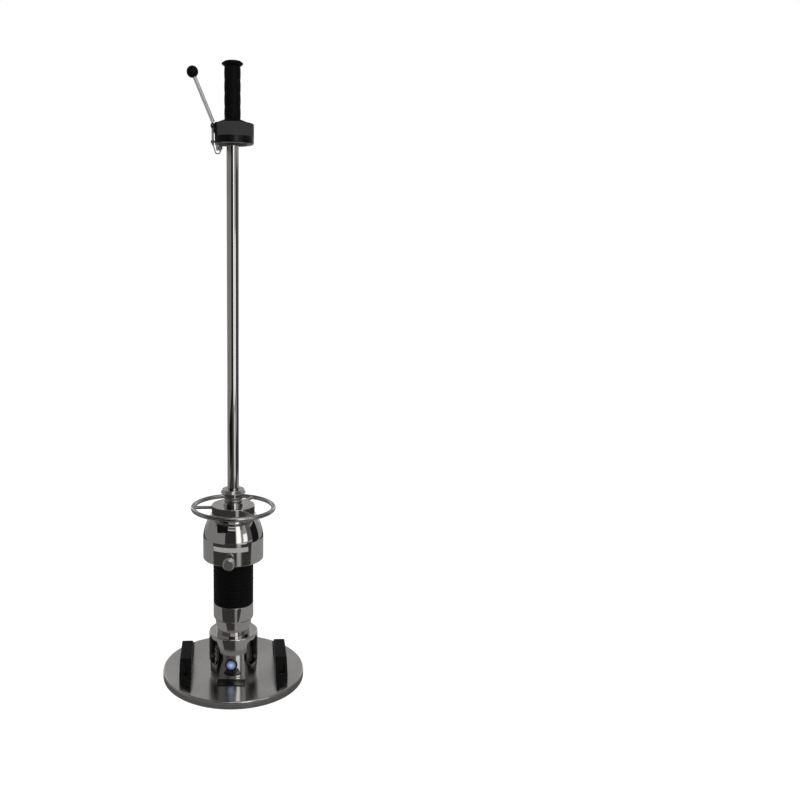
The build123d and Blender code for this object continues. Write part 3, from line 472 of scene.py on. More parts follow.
def lathe(name, corners, segments=160, place=None):
    """Turn a closed profile about the upright axis, then move it to its place."""
    shape = bmesh.new()
    turns = [2 * pi * index / segments for index in range(segments)]
    rings = []
    for radius, height in rounded(corners):
        if radius < 1e-6:
            rings.append([shape.verts.new((0, 0, height * MM))] * segments)
        else:
            points = [(radius * MM * cos(turn), radius * MM * sin(turn), height * MM) for turn in turns]
            rings.append([shape.verts.new(point) for point in points])
    for lower, upper in zip(rings, rings[1:] + rings[:1]):
        for index in range(segments):
            after = (index + 1) % segments
            corner = dict.fromkeys((lower[index], lower[after], upper[after], upper[index]))
            if len(corner) > 2:
                shape.faces.new(corner)
    if place is not None:
        shape.transform(place)
    return new_piece(name, shape)


def lift(height):
    """Matrix that moves a piece up by millimetres."""
    return Matrix.Translation((0, 0, height * MM))


def facing(azimuth, radius, height):
    """Matrix whose local z points outwards from the upright axis and whose local y points up."""
    turn = radians(azimuth)
    outward = Vector((cos(turn), sin(turn), 0))
    side = Vector((-sin(turn), cos(turn), 0))
    matrix = Matrix((side, Vector((0, 0, 1)), outward)).transposed().to_4x4()
    matrix.translation = (outward * radius + Vector((0, 0, height))) * MM
    return matrix


print("lathe ready")

# %% [markdown]
# ## Other ways to a mesh
# Holes and windows are cut with Boolean modifiers. A copy of a CAD node with merged corners can take
# smooth shading, which its loose triangles can't. Cutting leaves slivers, which a mirror shows as torn
# stripes, so on round walls the normals are set one by one. `dress` gives a piece its finish and hands it
# to its body.

# %% Cut and bevel


def settle(piece):
    """Turn the modified shape into a plain mesh."""
    graph = bpy.context.evaluated_depsgraph_get()
    mesh = bpy.data.meshes.new_from_object(piece.evaluated_get(graph))
    piece.modifiers.clear()
    piece.data = mesh
    shade(mesh)
    return piece


def modify(piece, kind, **settings):
    """Add a modifier."""
    modifier = piece.modifiers.new(kind, kind)
    for name, value in settings.items():
        setattr(modifier, name, value)
    return modifier


def carve(piece, *tools):
    """Cut the tools out of a piece, and throw the tools away."""
    for tool in tools:
        modify(piece, "BOOLEAN", operation="DIFFERENCE", solver="EXACT", object=tool)
    settle(piece)
    for tool in tools:
        bpy.data.objects.remove(tool)
    return piece


def break_edges(piece, width):
    """Small bevels on the sharp edges, which catch the light as real ones do."""
    modify(piece, "BEVEL", width=width * MM, segments=2, limit_method="ANGLE", angle_limit=radians(40))
    return settle(piece)


def true_round(piece, radius, low, high):
    """Let the normals of a round wall point straight away from the upright axis, or straight to it."""
    mesh = piece.data
    slack = 0.02 * MM
    normals = [corner.vector.copy() for corner in mesh.corner_normals]
    for face in mesh.polygons:
        for corner in face.loop_indices:
            point = mesh.vertices[mesh.loops[corner].vertex_index].co
            outward = Vector((point.x, point.y, 0.0))
            on_wall = abs(outward.length - radius * MM) < slack
            on_wall = on_wall and low * MM - slack < point.z < high * MM + slack
            outward.normalize()
            lean = face.normal.dot(outward)
            if on_wall and abs(lean) > 0.5:
                normals[corner] = outward if lean > 0 else -outward
    mesh.normals_split_custom_set(normals)
    return piece


print("cutting ready")

# %% Outlines, copies and dress


def prism(name, outline, depth, place):
    """Solid of a flat outline in millimetres, pushed along local z and moved to its place."""
    shape = bmesh.new()
    base = shape.faces.new([shape.verts.new((x * MM, y * MM, 0)) for x, y in outline])
    top = bmesh.ops.extrude_face_region(shape, geom=[base])
    moved = [part for part in top["geom"] if isinstance(part, bmesh.types.BMVert)]
    bmesh.ops.translate(shape, verts=moved, vec=(0, 0, depth * MM))
    shape.transform(place)
    return new_piece(name, shape)


def rounded_rectangle(width, height, corner):
    ends = [(-width / 2, -height / 2, corner), (width / 2, -height / 2, corner)]
    ends += [(width / 2, height / 2, corner), (-width / 2, height / 2, corner)]
    return rounded(ends)


def socket_screw(name, profile, segments, place, key_radius, key_floor, key_depth):
    """Turned screw with a hexagon socket for its key."""
    turns = [radians(60 * side) for side in range(6)]
    key = [(key_radius * cos(turn), key_radius * sin(turn)) for turn in turns]
    cutter = prism("key", key, key_depth, place @ lift(key_floor))
    return carve(lathe(name, profile, segments, place), cutter)


def smooth_copy(node):
    """Copy of a CAD node with its triangles joined, smooth shading and flats that stay flat."""
    shape = bmesh.new()
    shape.from_mesh(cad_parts[node].data)
    bmesh.ops.remove_doubles(shape, verts=shape.verts, dist=0.001 * MM)
    piece = new_piece(node + "_dressed", shape)
    modify(piece, "WEIGHTED_NORMAL", keep_sharp=True)
    return settle(piece)


def dress(piece, body, material, slot, *nodes):
    """Give a piece its finish, let it ride on its body and stand for its CAD nodes."""
    piece.data.materials.clear()
    piece.data.materials.append(finishes[material])
    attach(piece, body)
    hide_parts(*nodes)
    return piece


def dress_copies(body, material, slot, *nodes):
    """Dress a smooth copy of each node."""
    for node in nodes:
        dress(smooth_copy(node), body, material, slot, node)


print("tools ready")

# %% [markdown]
# ## Repeats with Geometry Nodes
# Screws, spokes and disc springs are one piece many times over. A tree puts copies of a piece on points:
# round the upright axis, in a grid or in a stack. Its sizes are named inputs, and it ends in real
# geometry with its material set.

# %% Start, end and use of a tree
number, length = "NodeSocketInt", "NodeSocketFloat"


def new_tree(name, inputs):
    """Geometry tree with a material and other named inputs."""
    tree = bpy.data.node_groups.new(name, "GeometryNodeTree")
    tree.interface.new_socket("Geometry", in_out="OUTPUT", socket_type="NodeSocketGeometry")
    for title, kind in {"Material": "NodeSocketMaterial", **inputs}.items():
        tree.interface.new_socket(title, in_out="INPUT", socket_type=kind)
    graph = Graph(tree)
    return graph, graph.node("NodeGroupInput")


def end_tree(graph, entry, geometry):
    """Make the geometry real, set its material and lead it out."""
    solid = graph.node("GeometryNodeRealizeInstances", {}, {"Geometry": geometry})
    sockets = {"Geometry": solid, "Material": entry.output("Material")}
    graph.node("NodeGroupOutput", {}, {"Geometry": graph.node("GeometryNodeSetMaterial", {}, sockets)})
    return graph.tree


def grow(name, tree, material, **values):
    """New piece made by a tree, kept as a plain mesh."""
    piece = put(name, bpy.data.meshes.new(name))
    modifier = modify(piece, "NODES", node_group=tree)
    values["Material"] = finishes[material]
    for item in tree.interface.items_tree:
        if item.in_out == "INPUT":
            modifier[item.identifier] = values[item.name]
    return settle(piece)


print("start and end of a tree ready")

# %% Trees that repeat a piece


def repeat_tree(name, sizes, scatter):
    """Tree that copies a piece; scatter gives its points and its rotation."""
    graph, entry = new_tree(name, {"Piece": "NodeSocketObject", **sizes})
    points, turn = scatter(graph, entry)
    piece = graph.node("GeometryNodeObjectInfo", {}, {"Object": entry.output("Piece")}).output("Geometry")
    sockets = {"Points": points, "Instance": piece, "Rotation": turn}
    return end_tree(graph, entry, graph.node("GeometryNodeInstanceOnPoints", {}, sockets))


def round_the_axis(graph, entry):
    index = graph.node("GeometryNodeInputIndex")
    points = graph.node("GeometryNodePoints", {}, {"Count": entry.output("Count")})
    step = 2 * pi / entry.output("Count")
    return points, graph.vector(0.0, 0.0, entry.output("Start") + index * step)


def in_a_grid(graph, entry):
    sockets = {"Size X": entry.output("Width"), "Size Y": entry.output("Depth")}
    sockets.update({"Vertices X": 2, "Vertices Y": 2})
    return graph.node("GeometryNodeMeshGrid", {}, sockets), graph.vector()


def cup_to_cup(graph, entry):
    index = graph.node("GeometryNodeInputIndex")
    height = entry.output("Bottom") + (index + 0.5) * entry.output("Pitch")
    sockets = {"Count": entry.output("Count"), "Position": graph.vector(0.0, 0.0, height)}
    return graph.node("GeometryNodePoints", {}, sockets), graph.vector((index + 1) % 2 * pi, 0.0, 0.0)


ring_of = repeat_tree("ring_of", {"Count": number, "Start": length}, round_the_axis)
grid_of = repeat_tree("grid_of", {"Width": length, "Depth": length}, in_a_grid)
stack_of = repeat_tree("stack_of", {"Count": number, "Bottom": length, "Pitch": length}, cup_to_cup)


def repeat(name, tree, piece, material, **sizes):
    """Run a tree on a piece, and throw the single piece away."""
    result = grow(name, tree, material, Piece=piece, **sizes)
    bpy.data.objects.remove(piece)
    return result


print("trees:", ring_of.name, grid_of.name, stack_of.name)

# %% [markdown]
# ## Load plate
# A disc of polished steel, 300 mm across and 17 mm thick, with rounded rims. Six countersunk screws come
# through it from below and hold the hub. A turned profile gives the disc, and a tree of six cutters sinks
# the screws.

# %% Load plate and the screws under it
plate_radius, plate_top = 150.0, 17.0
hub_screw_circle, hub_screw_count = 47.0, 6
sink_floor, hub_screw_tip = 0.5, 30
profile = [(0, 0), (plate_radius, 0, 2), (plate_radius, plate_top, 3), (0, plate_top)]
plate = lathe("plate_disc", profile, segments=256)
sink = [(0, -1), (5.6, -1), (5.6, sink_floor), (3.05, 4.05), (3.05, plate_top + 1), (0, plate_top + 1)]
across = Matrix.Translation((hub_screw_circle * MM, 0, 0))
six = {"Count": hub_screw_count, "Start": 0.0}
carve(plate, repeat("plate_sinks", ring_of, lathe("sink", sink, 24, across), "screw_steel", **six))
dress(plate, "base", "plate_steel", "polished_steel", "load_plate")

sunk_head = [(0, sink_floor), (5.3, sink_floor, 0.15), (3, 4), (3, hub_screw_tip), (0, hub_screw_tip)]
screw = socket_screw("countersunk", sunk_head, 32, across, 2.0, -sink_floor, 2.4)
hub_screws = repeat("plate_screws", ring_of, screw, "screw_steel", **six)
dress(hub_screws, "base", "screw_steel", "screw_steel", "hub_screws")
print("plate faces", len(plate.data.polygons), "screw faces", len(hub_screws.data.polygons))

# %% [markdown]
# ## Hub cage
# A thick tube with a top, cut by three tall windows with round corners, so that three pillars are left.
# The front pillar carries the power button. The windows show the can with the electronics, so the tube is
# really hollow.

# %% Hub cage with its windows
press_gap = 0.03
hub_radius, hub_inner, hub_round = 51.5, 42.5, 2.5
hub_top, hub_ceiling = 101.0, 92.0
hub_foot_round, hub_ceiling_round = 0.8, 1.5
stud_radius = 14.0
stud_bore = stud_radius + press_gap
profile = [(hub_inner, plate_top), (hub_radius, plate_top, hub_foot_round)]
profile += [(hub_radius, hub_top, hub_round), (stud_bore, hub_top), (stud_bore, hub_ceiling)]
profile += [(hub_inner, hub_ceiling, hub_ceiling_round)]
hub = lathe("hub_tube", profile, segments=192)
window_bottom, window_half_turn, window_corner = 38.0, radians(25), 9
window_height = hub_ceiling - window_bottom
window = rounded_rectangle(2 * hub_radius * sin(window_half_turn), window_height, window_corner)
window_middle, cutter_reach = window_bottom + window_height / 2, 70
places = [facing(azimuth, 0, window_middle) for azimuth in (-33, 87, 207)]
cutters = [prism("window", window, cutter_reach, place) for place in places]
button_azimuth, button_z = -95.5, 46.0
bezel_radius, bezel_seat = 13, 48.5
bezel_hole, switch_hole = bezel_radius + 0.05, 9 + press_gap
bore = [(0, 0), (switch_hole, 0), (switch_hole, bezel_seat), (bezel_hole, bezel_seat)]
bore += [(bezel_hole, cutter_reach), (0, cutter_reach)]
cutters.append(lathe("button_bore", bore, 64, facing(button_azimuth, 0, button_z)))
carve(hub, *cutters)
break_edges(hub, 0.5)
true_round(hub, hub_radius, plate_top + hub_foot_round, hub_top - hub_round)
true_round(hub, hub_inner, plate_top, hub_ceiling - hub_ceiling_round)
dress(hub, "base", "polished_steel", "polished_steel", "hub_cage")
print("hub faces", len(hub.data.polygons))

# %% [markdown]
# ## Power button
# A lit button in a black bezel. The light behind the lens is strongest in the middle and turns a deeper
# blue towards the rim, so the emission follows the distance from the middle of its face. It is also
# made brighter low on the face than at its top: a painted highlight on the real glow.

# %% Bezel and lit button
lens_radius, lens_seat, lens_middle = 11, 50.3, 54.5
button_face = facing(button_azimuth, lens_middle, button_z).translation
glow_blue = (0.36, 0.45, 0.72, 1.0)
dim_left, dim_right = (0.05, 0.06, 0.13, 1.0), (0.055, 0.08, 0.1, 1.0)


@finish
def lit_lens(graph):
    sockets = {0: graph.place(), 1: tuple(button_face)}
    reach = graph.node("ShaderNodeVectorMath", {"operation": "DISTANCE"}, sockets).output("Value")
    x, y, z = graph.point()
    glow_and_highlight = graph.ramp(reach, 0.4 * MM, 10.5 * MM, 1.0, 0.0)
    # Brighter low on the face than at its top: a painted highlight in the glow.
    glow_and_highlight = glow_and_highlight * graph.ramp(z, button_face.z, button_face.z + lens_radius * MM, 1.0, 0.45)
    rim = graph.ramp(reach, 9.6 * MM, 10.8 * MM, 1.0, 0.0)
    side = graph.ramp(x, button_face.x + 1 * MM, button_face.x + 8 * MM)
    glow = graph.blend(glow_and_highlight, graph.blend(side, dim_left, dim_right), glow_blue)
    colour = graph.blend(rim, grey(0.006), (0.02, 0.025, 0.05, 1.0))
    light = {"Emission_Color": graph.blend(rim, grey(0.0), glow), "Emission_Strength": 1.0}
    return principled(graph, colour, 0.12 + 0.1 * graph.cloud(500.0), Specular=0.3, **light)


profile = [(11.3, 0), (bezel_radius, 0), (bezel_radius, 5.5, 0.9), (11.3, 5.5, 0.5)]
bezel = lathe("button_ring", profile, 96, facing(button_azimuth, bezel_seat, button_z))
dress(bezel, "base", "gloss_black", "black_gloss", "button_bezel")
profile = [(0, 0), (lens_radius, 0), (lens_radius, 3.0, 1.2), (9.2, 3.7, 0.4), (8.8, 3.4, 0.3)]
profile += [(4, 4.0, 6), (0, 4.2)]
lens = lathe("button_lens", profile, 96, facing(button_azimuth, lens_seat, button_z))
dress(lens, "button", "lit_lens", "blue_lens", "power_button")
print("button face at mm", [round(value / MM, 1) for value in button_face])

# %% [markdown]
# ## Inside the hub
# The windows show the grey can. What is in the can never shows, but it is there in the CAD model, so it
# keeps its nodes and only gets finishes: a board, a battery holder, two wrapped cells and the sensor.

# %% Can, board, cells and sensor


@finish
def circuit_board(graph):
    sockets = {"Vector": graph.place(), "Scale": 260.0, "Mortar Size": 0.04}
    tracks = graph.ramp(graph.node("ShaderNodeTexBrick", {}, sockets).output("Fac"), 0.3, 0.7)
    colour = graph.blend(tracks, (0.008, 0.09, 0.035, 1.0), (0.03, 0.17, 0.07, 1.0))
    return principled(graph, colour, 0.35 + 0.15 * graph.cloud(200.0), Coat_Weight=0.3)


clouded("wrapped_cell", 90.0, 0.06, 0.12, 0.22, 0.1)
dress_copies("base", "shade_darkened_can", "grey_can", "electronics_can", "can_lid")
dress_copies("base", "dark_steel", "dark_steel", "motion_sensor")
dress_copies("base", "circuit_board", "green_board", "circuit_board")
dress_copies("base", "moulded_black", "black_plastic", "battery_holder", "switch_body")
dress_copies("base", "wrapped_cell", "cell_wrap", "battery_cells")
print("finishes with the inside of the hub:", len(finishes))

# %% [markdown]
# ## Carry handles and the bare plate
# Two bows of black plastic stand on the plate, each held by two socket screws. The CAD bow already has
# its bends and soft edges, so a smooth copy of it takes the moulded finish. The plate in front of the hub
# stays bare.

# %% Handles, their screws and the bare plate
dress_copies("base", "moulded_black", "black_plastic", "carry_handle_left", "carry_handle_right")
handle_floor, screw_spread, screw_span = 25.0, 200 * MM, 133.96 * MM
cap = [(0, -11), (3, -11), (3, 0), (5, 0), (5, 6, 0.6), (0, 6)]
screw = socket_screw("socket_screw", cap, 40, lift(handle_floor), 2.5, 3, 4)
handle_screws = repeat("handle_bolts", grid_of, screw, "screw_steel", Width=screw_spread, Depth=screw_span)
dress(handle_screws, "base", "screw_steel", "screw_steel", "handle_screws")

tag_width, tag_depth, tag_thickness, tag_rim = 58, 27, 1.2, 2.5
tag_azimuth, tag_reach = -94.0, 73
tag_turn = Matrix.Rotation(radians(tag_azimuth + 90), 4, "Z")
tag_place = tag_turn @ Matrix.Translation((0, -tag_reach * MM, plate_top * MM))
tag = prism("bare_plate", rounded_rectangle(tag_width, tag_depth, tag_rim), tag_thickness, tag_place)
field = rounded_rectangle(tag_width - 2 * tag_rim, tag_depth - 2 * tag_rim, 1.5)
carve(tag, prism("field", field, 2, tag_place @ lift(tag_thickness - 0.3)))
break_edges(tag, 0.2)
dress(tag, "base", "gloss_black", "black_gloss", "blank_plate")
print("bare plate", tag_width, "by", tag_depth)

# %% [markdown]
# ## Foot, spring housing and rod
# The loading device stands on a round stud and can be lifted off it, so the foot is bored from below. The
# housing above it is a polished drum, and the rod stands in its top. All three are turned.

# %% Stud, housing and guide rod
stud_top, foot_bore, foot_bore_top = 119, 14.5, 121
profile = [(0, hub_ceiling), (stud_radius, hub_ceiling), (stud_radius, stud_top, 13.9), (0, stud_top)]
stud = lathe("round_stud", profile, 96)
dress(stud, "base", "polished_steel", "polished_steel", "centring_stud")
drum_radius, drum_bottom, drum_top = 42.3, 132, 166
spigot_radius, stack_bottom = 37.5, 174.0
rod_radius, rod_bottom, rod_top, rod_bevel = 12, 140, 1242.6, 1.5
rod_bore, rod_screw_bore = rod_radius + press_gap, 5 + press_gap
profile = [(foot_bore, hub_top, 0.5), (36, hub_top, 0.8), (38.5, drum_bottom)]
profile += [(drum_radius, drum_bottom, 3.5), (drum_radius, drum_top, 0.8), (spigot_radius, drum_top)]
profile += [(spigot_radius, stack_bottom, 0.5), (rod_bore, stack_bottom), (rod_bore, rod_bottom)]
profile += [(rod_screw_bore, rod_bottom), (rod_screw_bore, 129), (8.5, 129), (8.5, foot_bore_top)]
profile += [(foot_bore, foot_bore_top)]
housing = lathe("housing_drum", profile, 192)
dress(housing, "guide", "polished_steel", "polished_steel", "spring_housing")
rod_end, rod_screw_tip = rod_radius - rod_bevel, 162
profile = [(rod_screw_bore, rod_bottom), (rod_end, rod_bottom), (rod_radius, rod_bottom + rod_bevel)]
profile += [(rod_radius, rod_top - rod_bevel), (rod_end, rod_top), (0, rod_top)]
profile += [(0, rod_screw_tip), (rod_screw_bore, rod_screw_tip)]
rod = lathe("rod_bar", profile, 128)
dress(rod, "guide", "polished_steel", "polished_steel", "guide_rod")
dress_copies("guide", "screw_steel", "screw_steel", "rod_screw")
print("rod length mm", rod_top - rod_bottom)

# %% [markdown]
# ## Spring set
# Sixteen disc springs lie cup to cup on the rod inside a rubber sleeve. Both get shorter when the weight
# strikes. The sleeve's ribs follow a rule, so a tree bends a flat grid into a tube and lets each rib swell
# out between two grooves.

# %% Disc springs
stack_top, disc_count, disc_thickness = 251.0, 16, 3.1
disc_inner, disc_outer = 12.5, 32
stack_height = stack_top - stack_bottom
disc_pitch = stack_height / disc_count
disc_half = disc_pitch / 2 - press_gap
profile = [(disc_inner, -disc_half), (disc_outer, disc_half - disc_thickness)]
profile += [(disc_outer, disc_half), (disc_inner, disc_thickness - disc_half)]
sizes = {"Count": disc_count, "Bottom": stack_bottom * MM, "Pitch": disc_pitch * MM}
discs = repeat("disc_stack", stack_of, lathe("disc", profile, 64), "dark_steel", **sizes)
dress(discs, "guide", "dark_steel", "dark_steel", "disc_springs")
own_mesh(discs)
print("discs", disc_count, "pitch", round(disc_pitch, 3))

# %% Tree of the ribbed tube
rib_count, points_a_rib, points_round = 9, 24, 144


def ribbed_tube_tree():
    sizes = dict.fromkeys(("Radius", "Bottom", "Height", "Ribs", "Groove"), length)
    graph, entry = new_tree("ribbed_tube", sizes)
    sockets = {"Size X": 1.0, "Size Y": 1.0, "Vertices X": points_round + 1}
    sockets["Vertices Y"] = rib_count * points_a_rib + 1
    sheet = graph.node("GeometryNodeMeshGrid", {}, sockets)
    across, along, _ = graph.axes(graph.node("GeometryNodeInputPosition"))
    turn = (across + 0.5) * 2 * pi
    share = along + 0.5
    phase = share * entry.output("Ribs") % 1.0
    from_groove = graph.math("PINGPONG", phase, 0.5) * 2
    radius = entry.output("Radius") - (1 - from_groove) ** 5.0 * entry.output("Groove")
    x = radius * graph.math("COSINE", turn)
    y = radius * graph.math("SINE", turn)
    z = entry.output("Bottom") + share * entry.output("Height")
    bent = graph.node("GeometryNodeSetPosition", {}, {"Geometry": sheet, "Position": graph.vector(x, y, z)})
    closed = graph.node("GeometryNodeMergeByDistance", {}, {"Geometry": bent, "Distance": 0.001 * MM})
    return end_tree(graph, entry, closed)


tube_tree = ribbed_tube_tree()
print("tree:", tube_tree.name)

# %% Ribbed sleeve and its band
sleeve_radius, sleeve_bottom, sleeve_top, sleeve_wall = 42.0, 176.0, 257.0, 3.0
sleeve_height = sleeve_top - sleeve_bottom
sizes = {"Radius": sleeve_radius * MM, "Bottom": sleeve_bottom * MM, "Height": sleeve_height * MM}
sleeve = grow("sleeve_tube", tube_tree, "rubber_black", Ribs=float(rib_count), Groove=0.9 * MM, **sizes)
skin = bmesh.new()
skin.from_mesh(sleeve.data)
bmesh.ops.recalc_face_normals(skin, faces=skin.faces)
outwards = sum(face.normal.dot(face.calc_center_median() * Vector((1, 1, 0))) for face in skin.faces)
if outwards < 0:
    bmesh.ops.reverse_faces(skin, faces=skin.faces)
skin.to_mesh(sleeve.data)
skin.free()
modify(sleeve, "SOLIDIFY", thickness=sleeve_wall * MM, offset=-1.0)
settle(sleeve)
dress(sleeve, "guide", "rubber_black", "black_rubber", "spring_sleeve")
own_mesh(sleeve)
band_inner = spigot_radius + press_gap
profile = [(band_inner, drum_top), (sleeve_radius, drum_top, 1.5), (sleeve_radius, sleeve_bottom, 1.5)]
band = lathe("sleeve_band", profile + [(band_inner, sleeve_bottom)], 160)
dress(band, "guide", "rubber_black", "black_rubber", "sleeve_ring")
print("sleeve faces", len(sleeve.data.polygons))

# %% [markdown]
# ## Drop weight
# A bell of polished steel: a straight skirt, a long rounded shoulder and a boss on top. Its bore runs on
# the rod. The striker below it has a collar with a groove, into which the transport lock can be pushed.

# %% Striker
striker_top, striker_radius, collar_top, collar_radius = 264.6, 40, 285.6, 22
groove_radius, groove_low, groove_high = 17, 272, 281.2
slide_gap = 0.06
striker_bore = rod_radius + slide_gap
profile = [(striker_bore, stack_top), (spigot_radius, stack_top), (spigot_radius, sleeve_top)]
profile += [(striker_radius, sleeve_top, 0.5), (striker_radius, striker_top, 0.5)]
profile += [(collar_radius, striker_top), (collar_radius, groove_low), (groove_radius, groove_low)]
profile += [(groove_radius, groove_high), (collar_radius, groove_high)]
profile += [(collar_radius, collar_top, 0.8), (striker_bore, collar_top)]
striker = lathe("striker_disc", profile, 160)
dress(striker, "striker", "dark_steel", "dark_steel", "striker_plate")
print("striker top mm", striker_top)

# %% Weight, bushes and catch collar
weight_radius, crease_z, shoulder_bulge = 63, 312.6, 3.4
boss_radius, shoulder_z, boss_top = 44.5, 362.1, 379.1
weight_bore, counterbore, counterbore_top = 16, 24, 288.6
crease, shoulder = (weight_radius, crease_z), (boss_radius, shoulder_z)
profile = [(counterbore, striker_top), (weight_radius, striker_top, 2), (*crease, 0.5)]
profile += bowed(crease, shoulder, shoulder_bulge)
profile += [(*shoulder, 0.8), (boss_radius, boss_top, 1.2), (weight_bore, boss_top)]
profile += [(weight_bore, counterbore_top), (counterbore, counterbore_top)]
weight = lathe("weight_bell", profile, 256)
lock_azimuth, lock_z = -97.0, 276.6
bush_radius, bush_seat, flange_seat = 7, 36.5, 60.5
bush_hole = bush_radius + press_gap
recess = [(0, 20), (4.5, 20), (4.5, bush_seat), (bush_hole, bush_seat), (bush_hole, flange_seat)]
recess += [(9.5, flange_seat), (9.5, 80), (0, 80)]
carve(weight, lathe("recess", recess, 64, facing(lock_azimuth, 0, lock_z)))
dress(weight, "weight", "marked_steel", "polished_steel", "drop_weight")
dress_copies("weight", "bearing_bronze", "bronze", "lower_bush", "upper_bush")
collar_bore, spigot, neck, ring_land = 12.6, weight_bore - press_gap, 18.5, 21.75
profile = [(collar_bore, 359.1), (spigot, 359.1), (spigot, boss_top), (ring_land, boss_top, 0.3)]
profile += [(ring_land, 384.1, 0.8), (19, 384.1), (19, 385.4), (20, 385.9, 0.3), (20, 390, 0.5)]
profile += [(neck, 391.5, 0.5), (neck, 405.1, 0.8), (27, 405.1, 0.8), (22.5, 412.6, 0.8)]
collar = lathe("catch_flange", profile + [(collar_bore, 412.6, 0.5)], 160)
dress(collar, "weight", "polished_steel", "polished_steel", "catch_collar")
print("weight faces", len(weight.data.polygons))

# %% [markdown]
# ## Ring handle
# A bent rod closed to a ring, on three spokes. Each spoke flares at both ends, where it is welded. One
# spoke is turned along X, and the tree repeats it round the axis.

# %% Ring and spokes
ring_radius, ring_rod, ring_z = 83.4, 4.75, 372.6
turns = [radians(turn) for turn in range(0, 360, 12)]
tube = [(ring_radius + ring_rod * cos(turn), ring_z + ring_rod * sin(turn)) for turn in turns]
ring = lathe("ring_rod", tube, 224)
dress(ring, "weight", "ring_steel", "polished_steel", "lift_ring")
spoke_radius, spoke_root, spoke_tip = 3.5, 35.5, 79.9
profile = [(0, spoke_root), (spoke_radius, spoke_root), (spoke_radius, boss_radius), (4.6, 44.6)]
profile += [(4.2, 45.3, 0.6), (spoke_radius, 46.6, 1.5), (spoke_radius, 75.7, 1.5), (4.4, 78, 0.8)]
profile += [(4.2, spoke_tip), (0, spoke_tip)]
spoke = lathe("spoke", profile, 40, lift(ring_z) @ Matrix.Rotation(pi / 2, 4, "Y"))
spokes = repeat("ring_arms", ring_of, spoke, "ring_steel", Count=3, Start=pi)
dress(spokes, "weight", "ring_steel", "polished_steel", "ring_spokes")
print("spoke faces", len(spokes.data.polygons))

# %% [markdown]
# ## Transport lock
# A knob on a plunger at the foot of the weight. The plunger slides in a flanged bush, and pushed home it
# holds the weight on the striker. The knob has a broad chamfer, a small centre mark and fine grooves for
# the fingers.

# %% Bush, plunger and knob
lock_place = facing(lock_azimuth, 0, lock_z)
plunger_radius, plunger_tip, plunger_end = 4, 24.5, 79.5
knob_radius, knob_back, knob_front = 12, 70.5, 84.5
groove_floor = knob_radius - 0.4
bush_bore, bush_front = plunger_radius + slide_gap, 63.5
profile = [(bush_bore, bush_seat), (bush_radius, bush_seat), (bush_radius, flange_seat)]
profile += [(9, flange_seat), (9, bush_front, 0.6), (bush_bore, bush_front, 0.4)]
bush = lathe("lock_sleeve", profile, 64, lock_place)
dress(bush, "weight", "bright_steel", "satin_steel", "lock_bush")
profile = [(0, plunger_tip), (plunger_radius, plunger_tip, 0.8)]
profile += [(plunger_radius, plunger_end), (0, plunger_end)]
plunger = lathe("lock_pin", profile, 48, lock_place)
dress(plunger, "lock", "bright_steel", "satin_steel", "lock_plunger")
knob_bore = plunger_radius + press_gap
profile = [(knob_bore, knob_back), (knob_radius, knob_back, 0.5)]
for groove in (73, 77):
    profile += [(knob_radius, groove, 0.2), (groove_floor, groove + 0.4, 0.2)]
    profile += [(groove_floor, groove + 1.2, 0.2), (knob_radius, groove + 1.6, 0.2)]
profile += [(knob_radius, 82, 0.3), (9.5, knob_front, 0.3), (1.6, knob_front), (0, 83.4)]
profile += [(0, plunger_end), (knob_bore, plunger_end)]
knob = lathe("lock_grip", profile, 96, lock_place)
dress(knob, "lock", "bright_steel", "polished_steel", "lock_knob")
print("knob at mm", [round(value / MM, 1) for value in facing(lock_azimuth, knob_front, lock_z).translation])

# %% [markdown]
# ## Release head
# The head is clamped on the rod. It has a flat on one side for the lever's bracket, a slot for the latch
# hook, and a gloss black skirt below with a recess for the weight's flange. Its CAD shapes are right, so
# smooth copies of them take the finishes.

# %% Head, skirt and latch
head_radius, skirt_bottom, head_bottom, head_top = 41.0, 1096.1, 1109.1, 1133.6
skirt_round, head_round = 2.5, 2
head = true_round(smooth_copy("head_body"), head_radius, head_bottom, head_top - head_round)
dress(head, "guide", "satin_head", "satin_steel", "head_body")
skirt = true_round(smooth_copy("head_skirt"), head_radius, skirt_bottom + skirt_round, head_bottom)
dress(skirt, "guide", "painted_skirt", "black_gloss", "head_skirt")
dress_copies("guide", "gloss_black", "black_gloss", "lever_bracket")
dress_copies("lever", "plated_steel", "satin_steel", "release_lever")
dress_copies("hook", "bright_steel", "satin_steel", "latch_hook")
small_parts = {
    "guide": ("skirt_screws", "set_screw", "hook_pin", "bracket_screws", "lever_pin"),
    "lever": ("lever_eye_pin",),
    "hook": ("hook_eye_pin",),
    "wire": ("pull_wire", "wire_ferrules"),
}
for body, nodes in small_parts.items():
    dress_copies(body, "screw_steel", "screw_steel", *nodes)
print("head faces", len(head.data.polygons), "skirt faces", len(skirt.data.polygons))

# %% [markdown]
# ## Cap, grip and lever ball
# A low cap closes the head, and a rubber grip with four finger swells and a flange sits on the rod's end.
# The lever ends in a ball. All three are turned, the ball about the tilted end of the lever that goes into
# it, so its profile starts at the hole for that end.

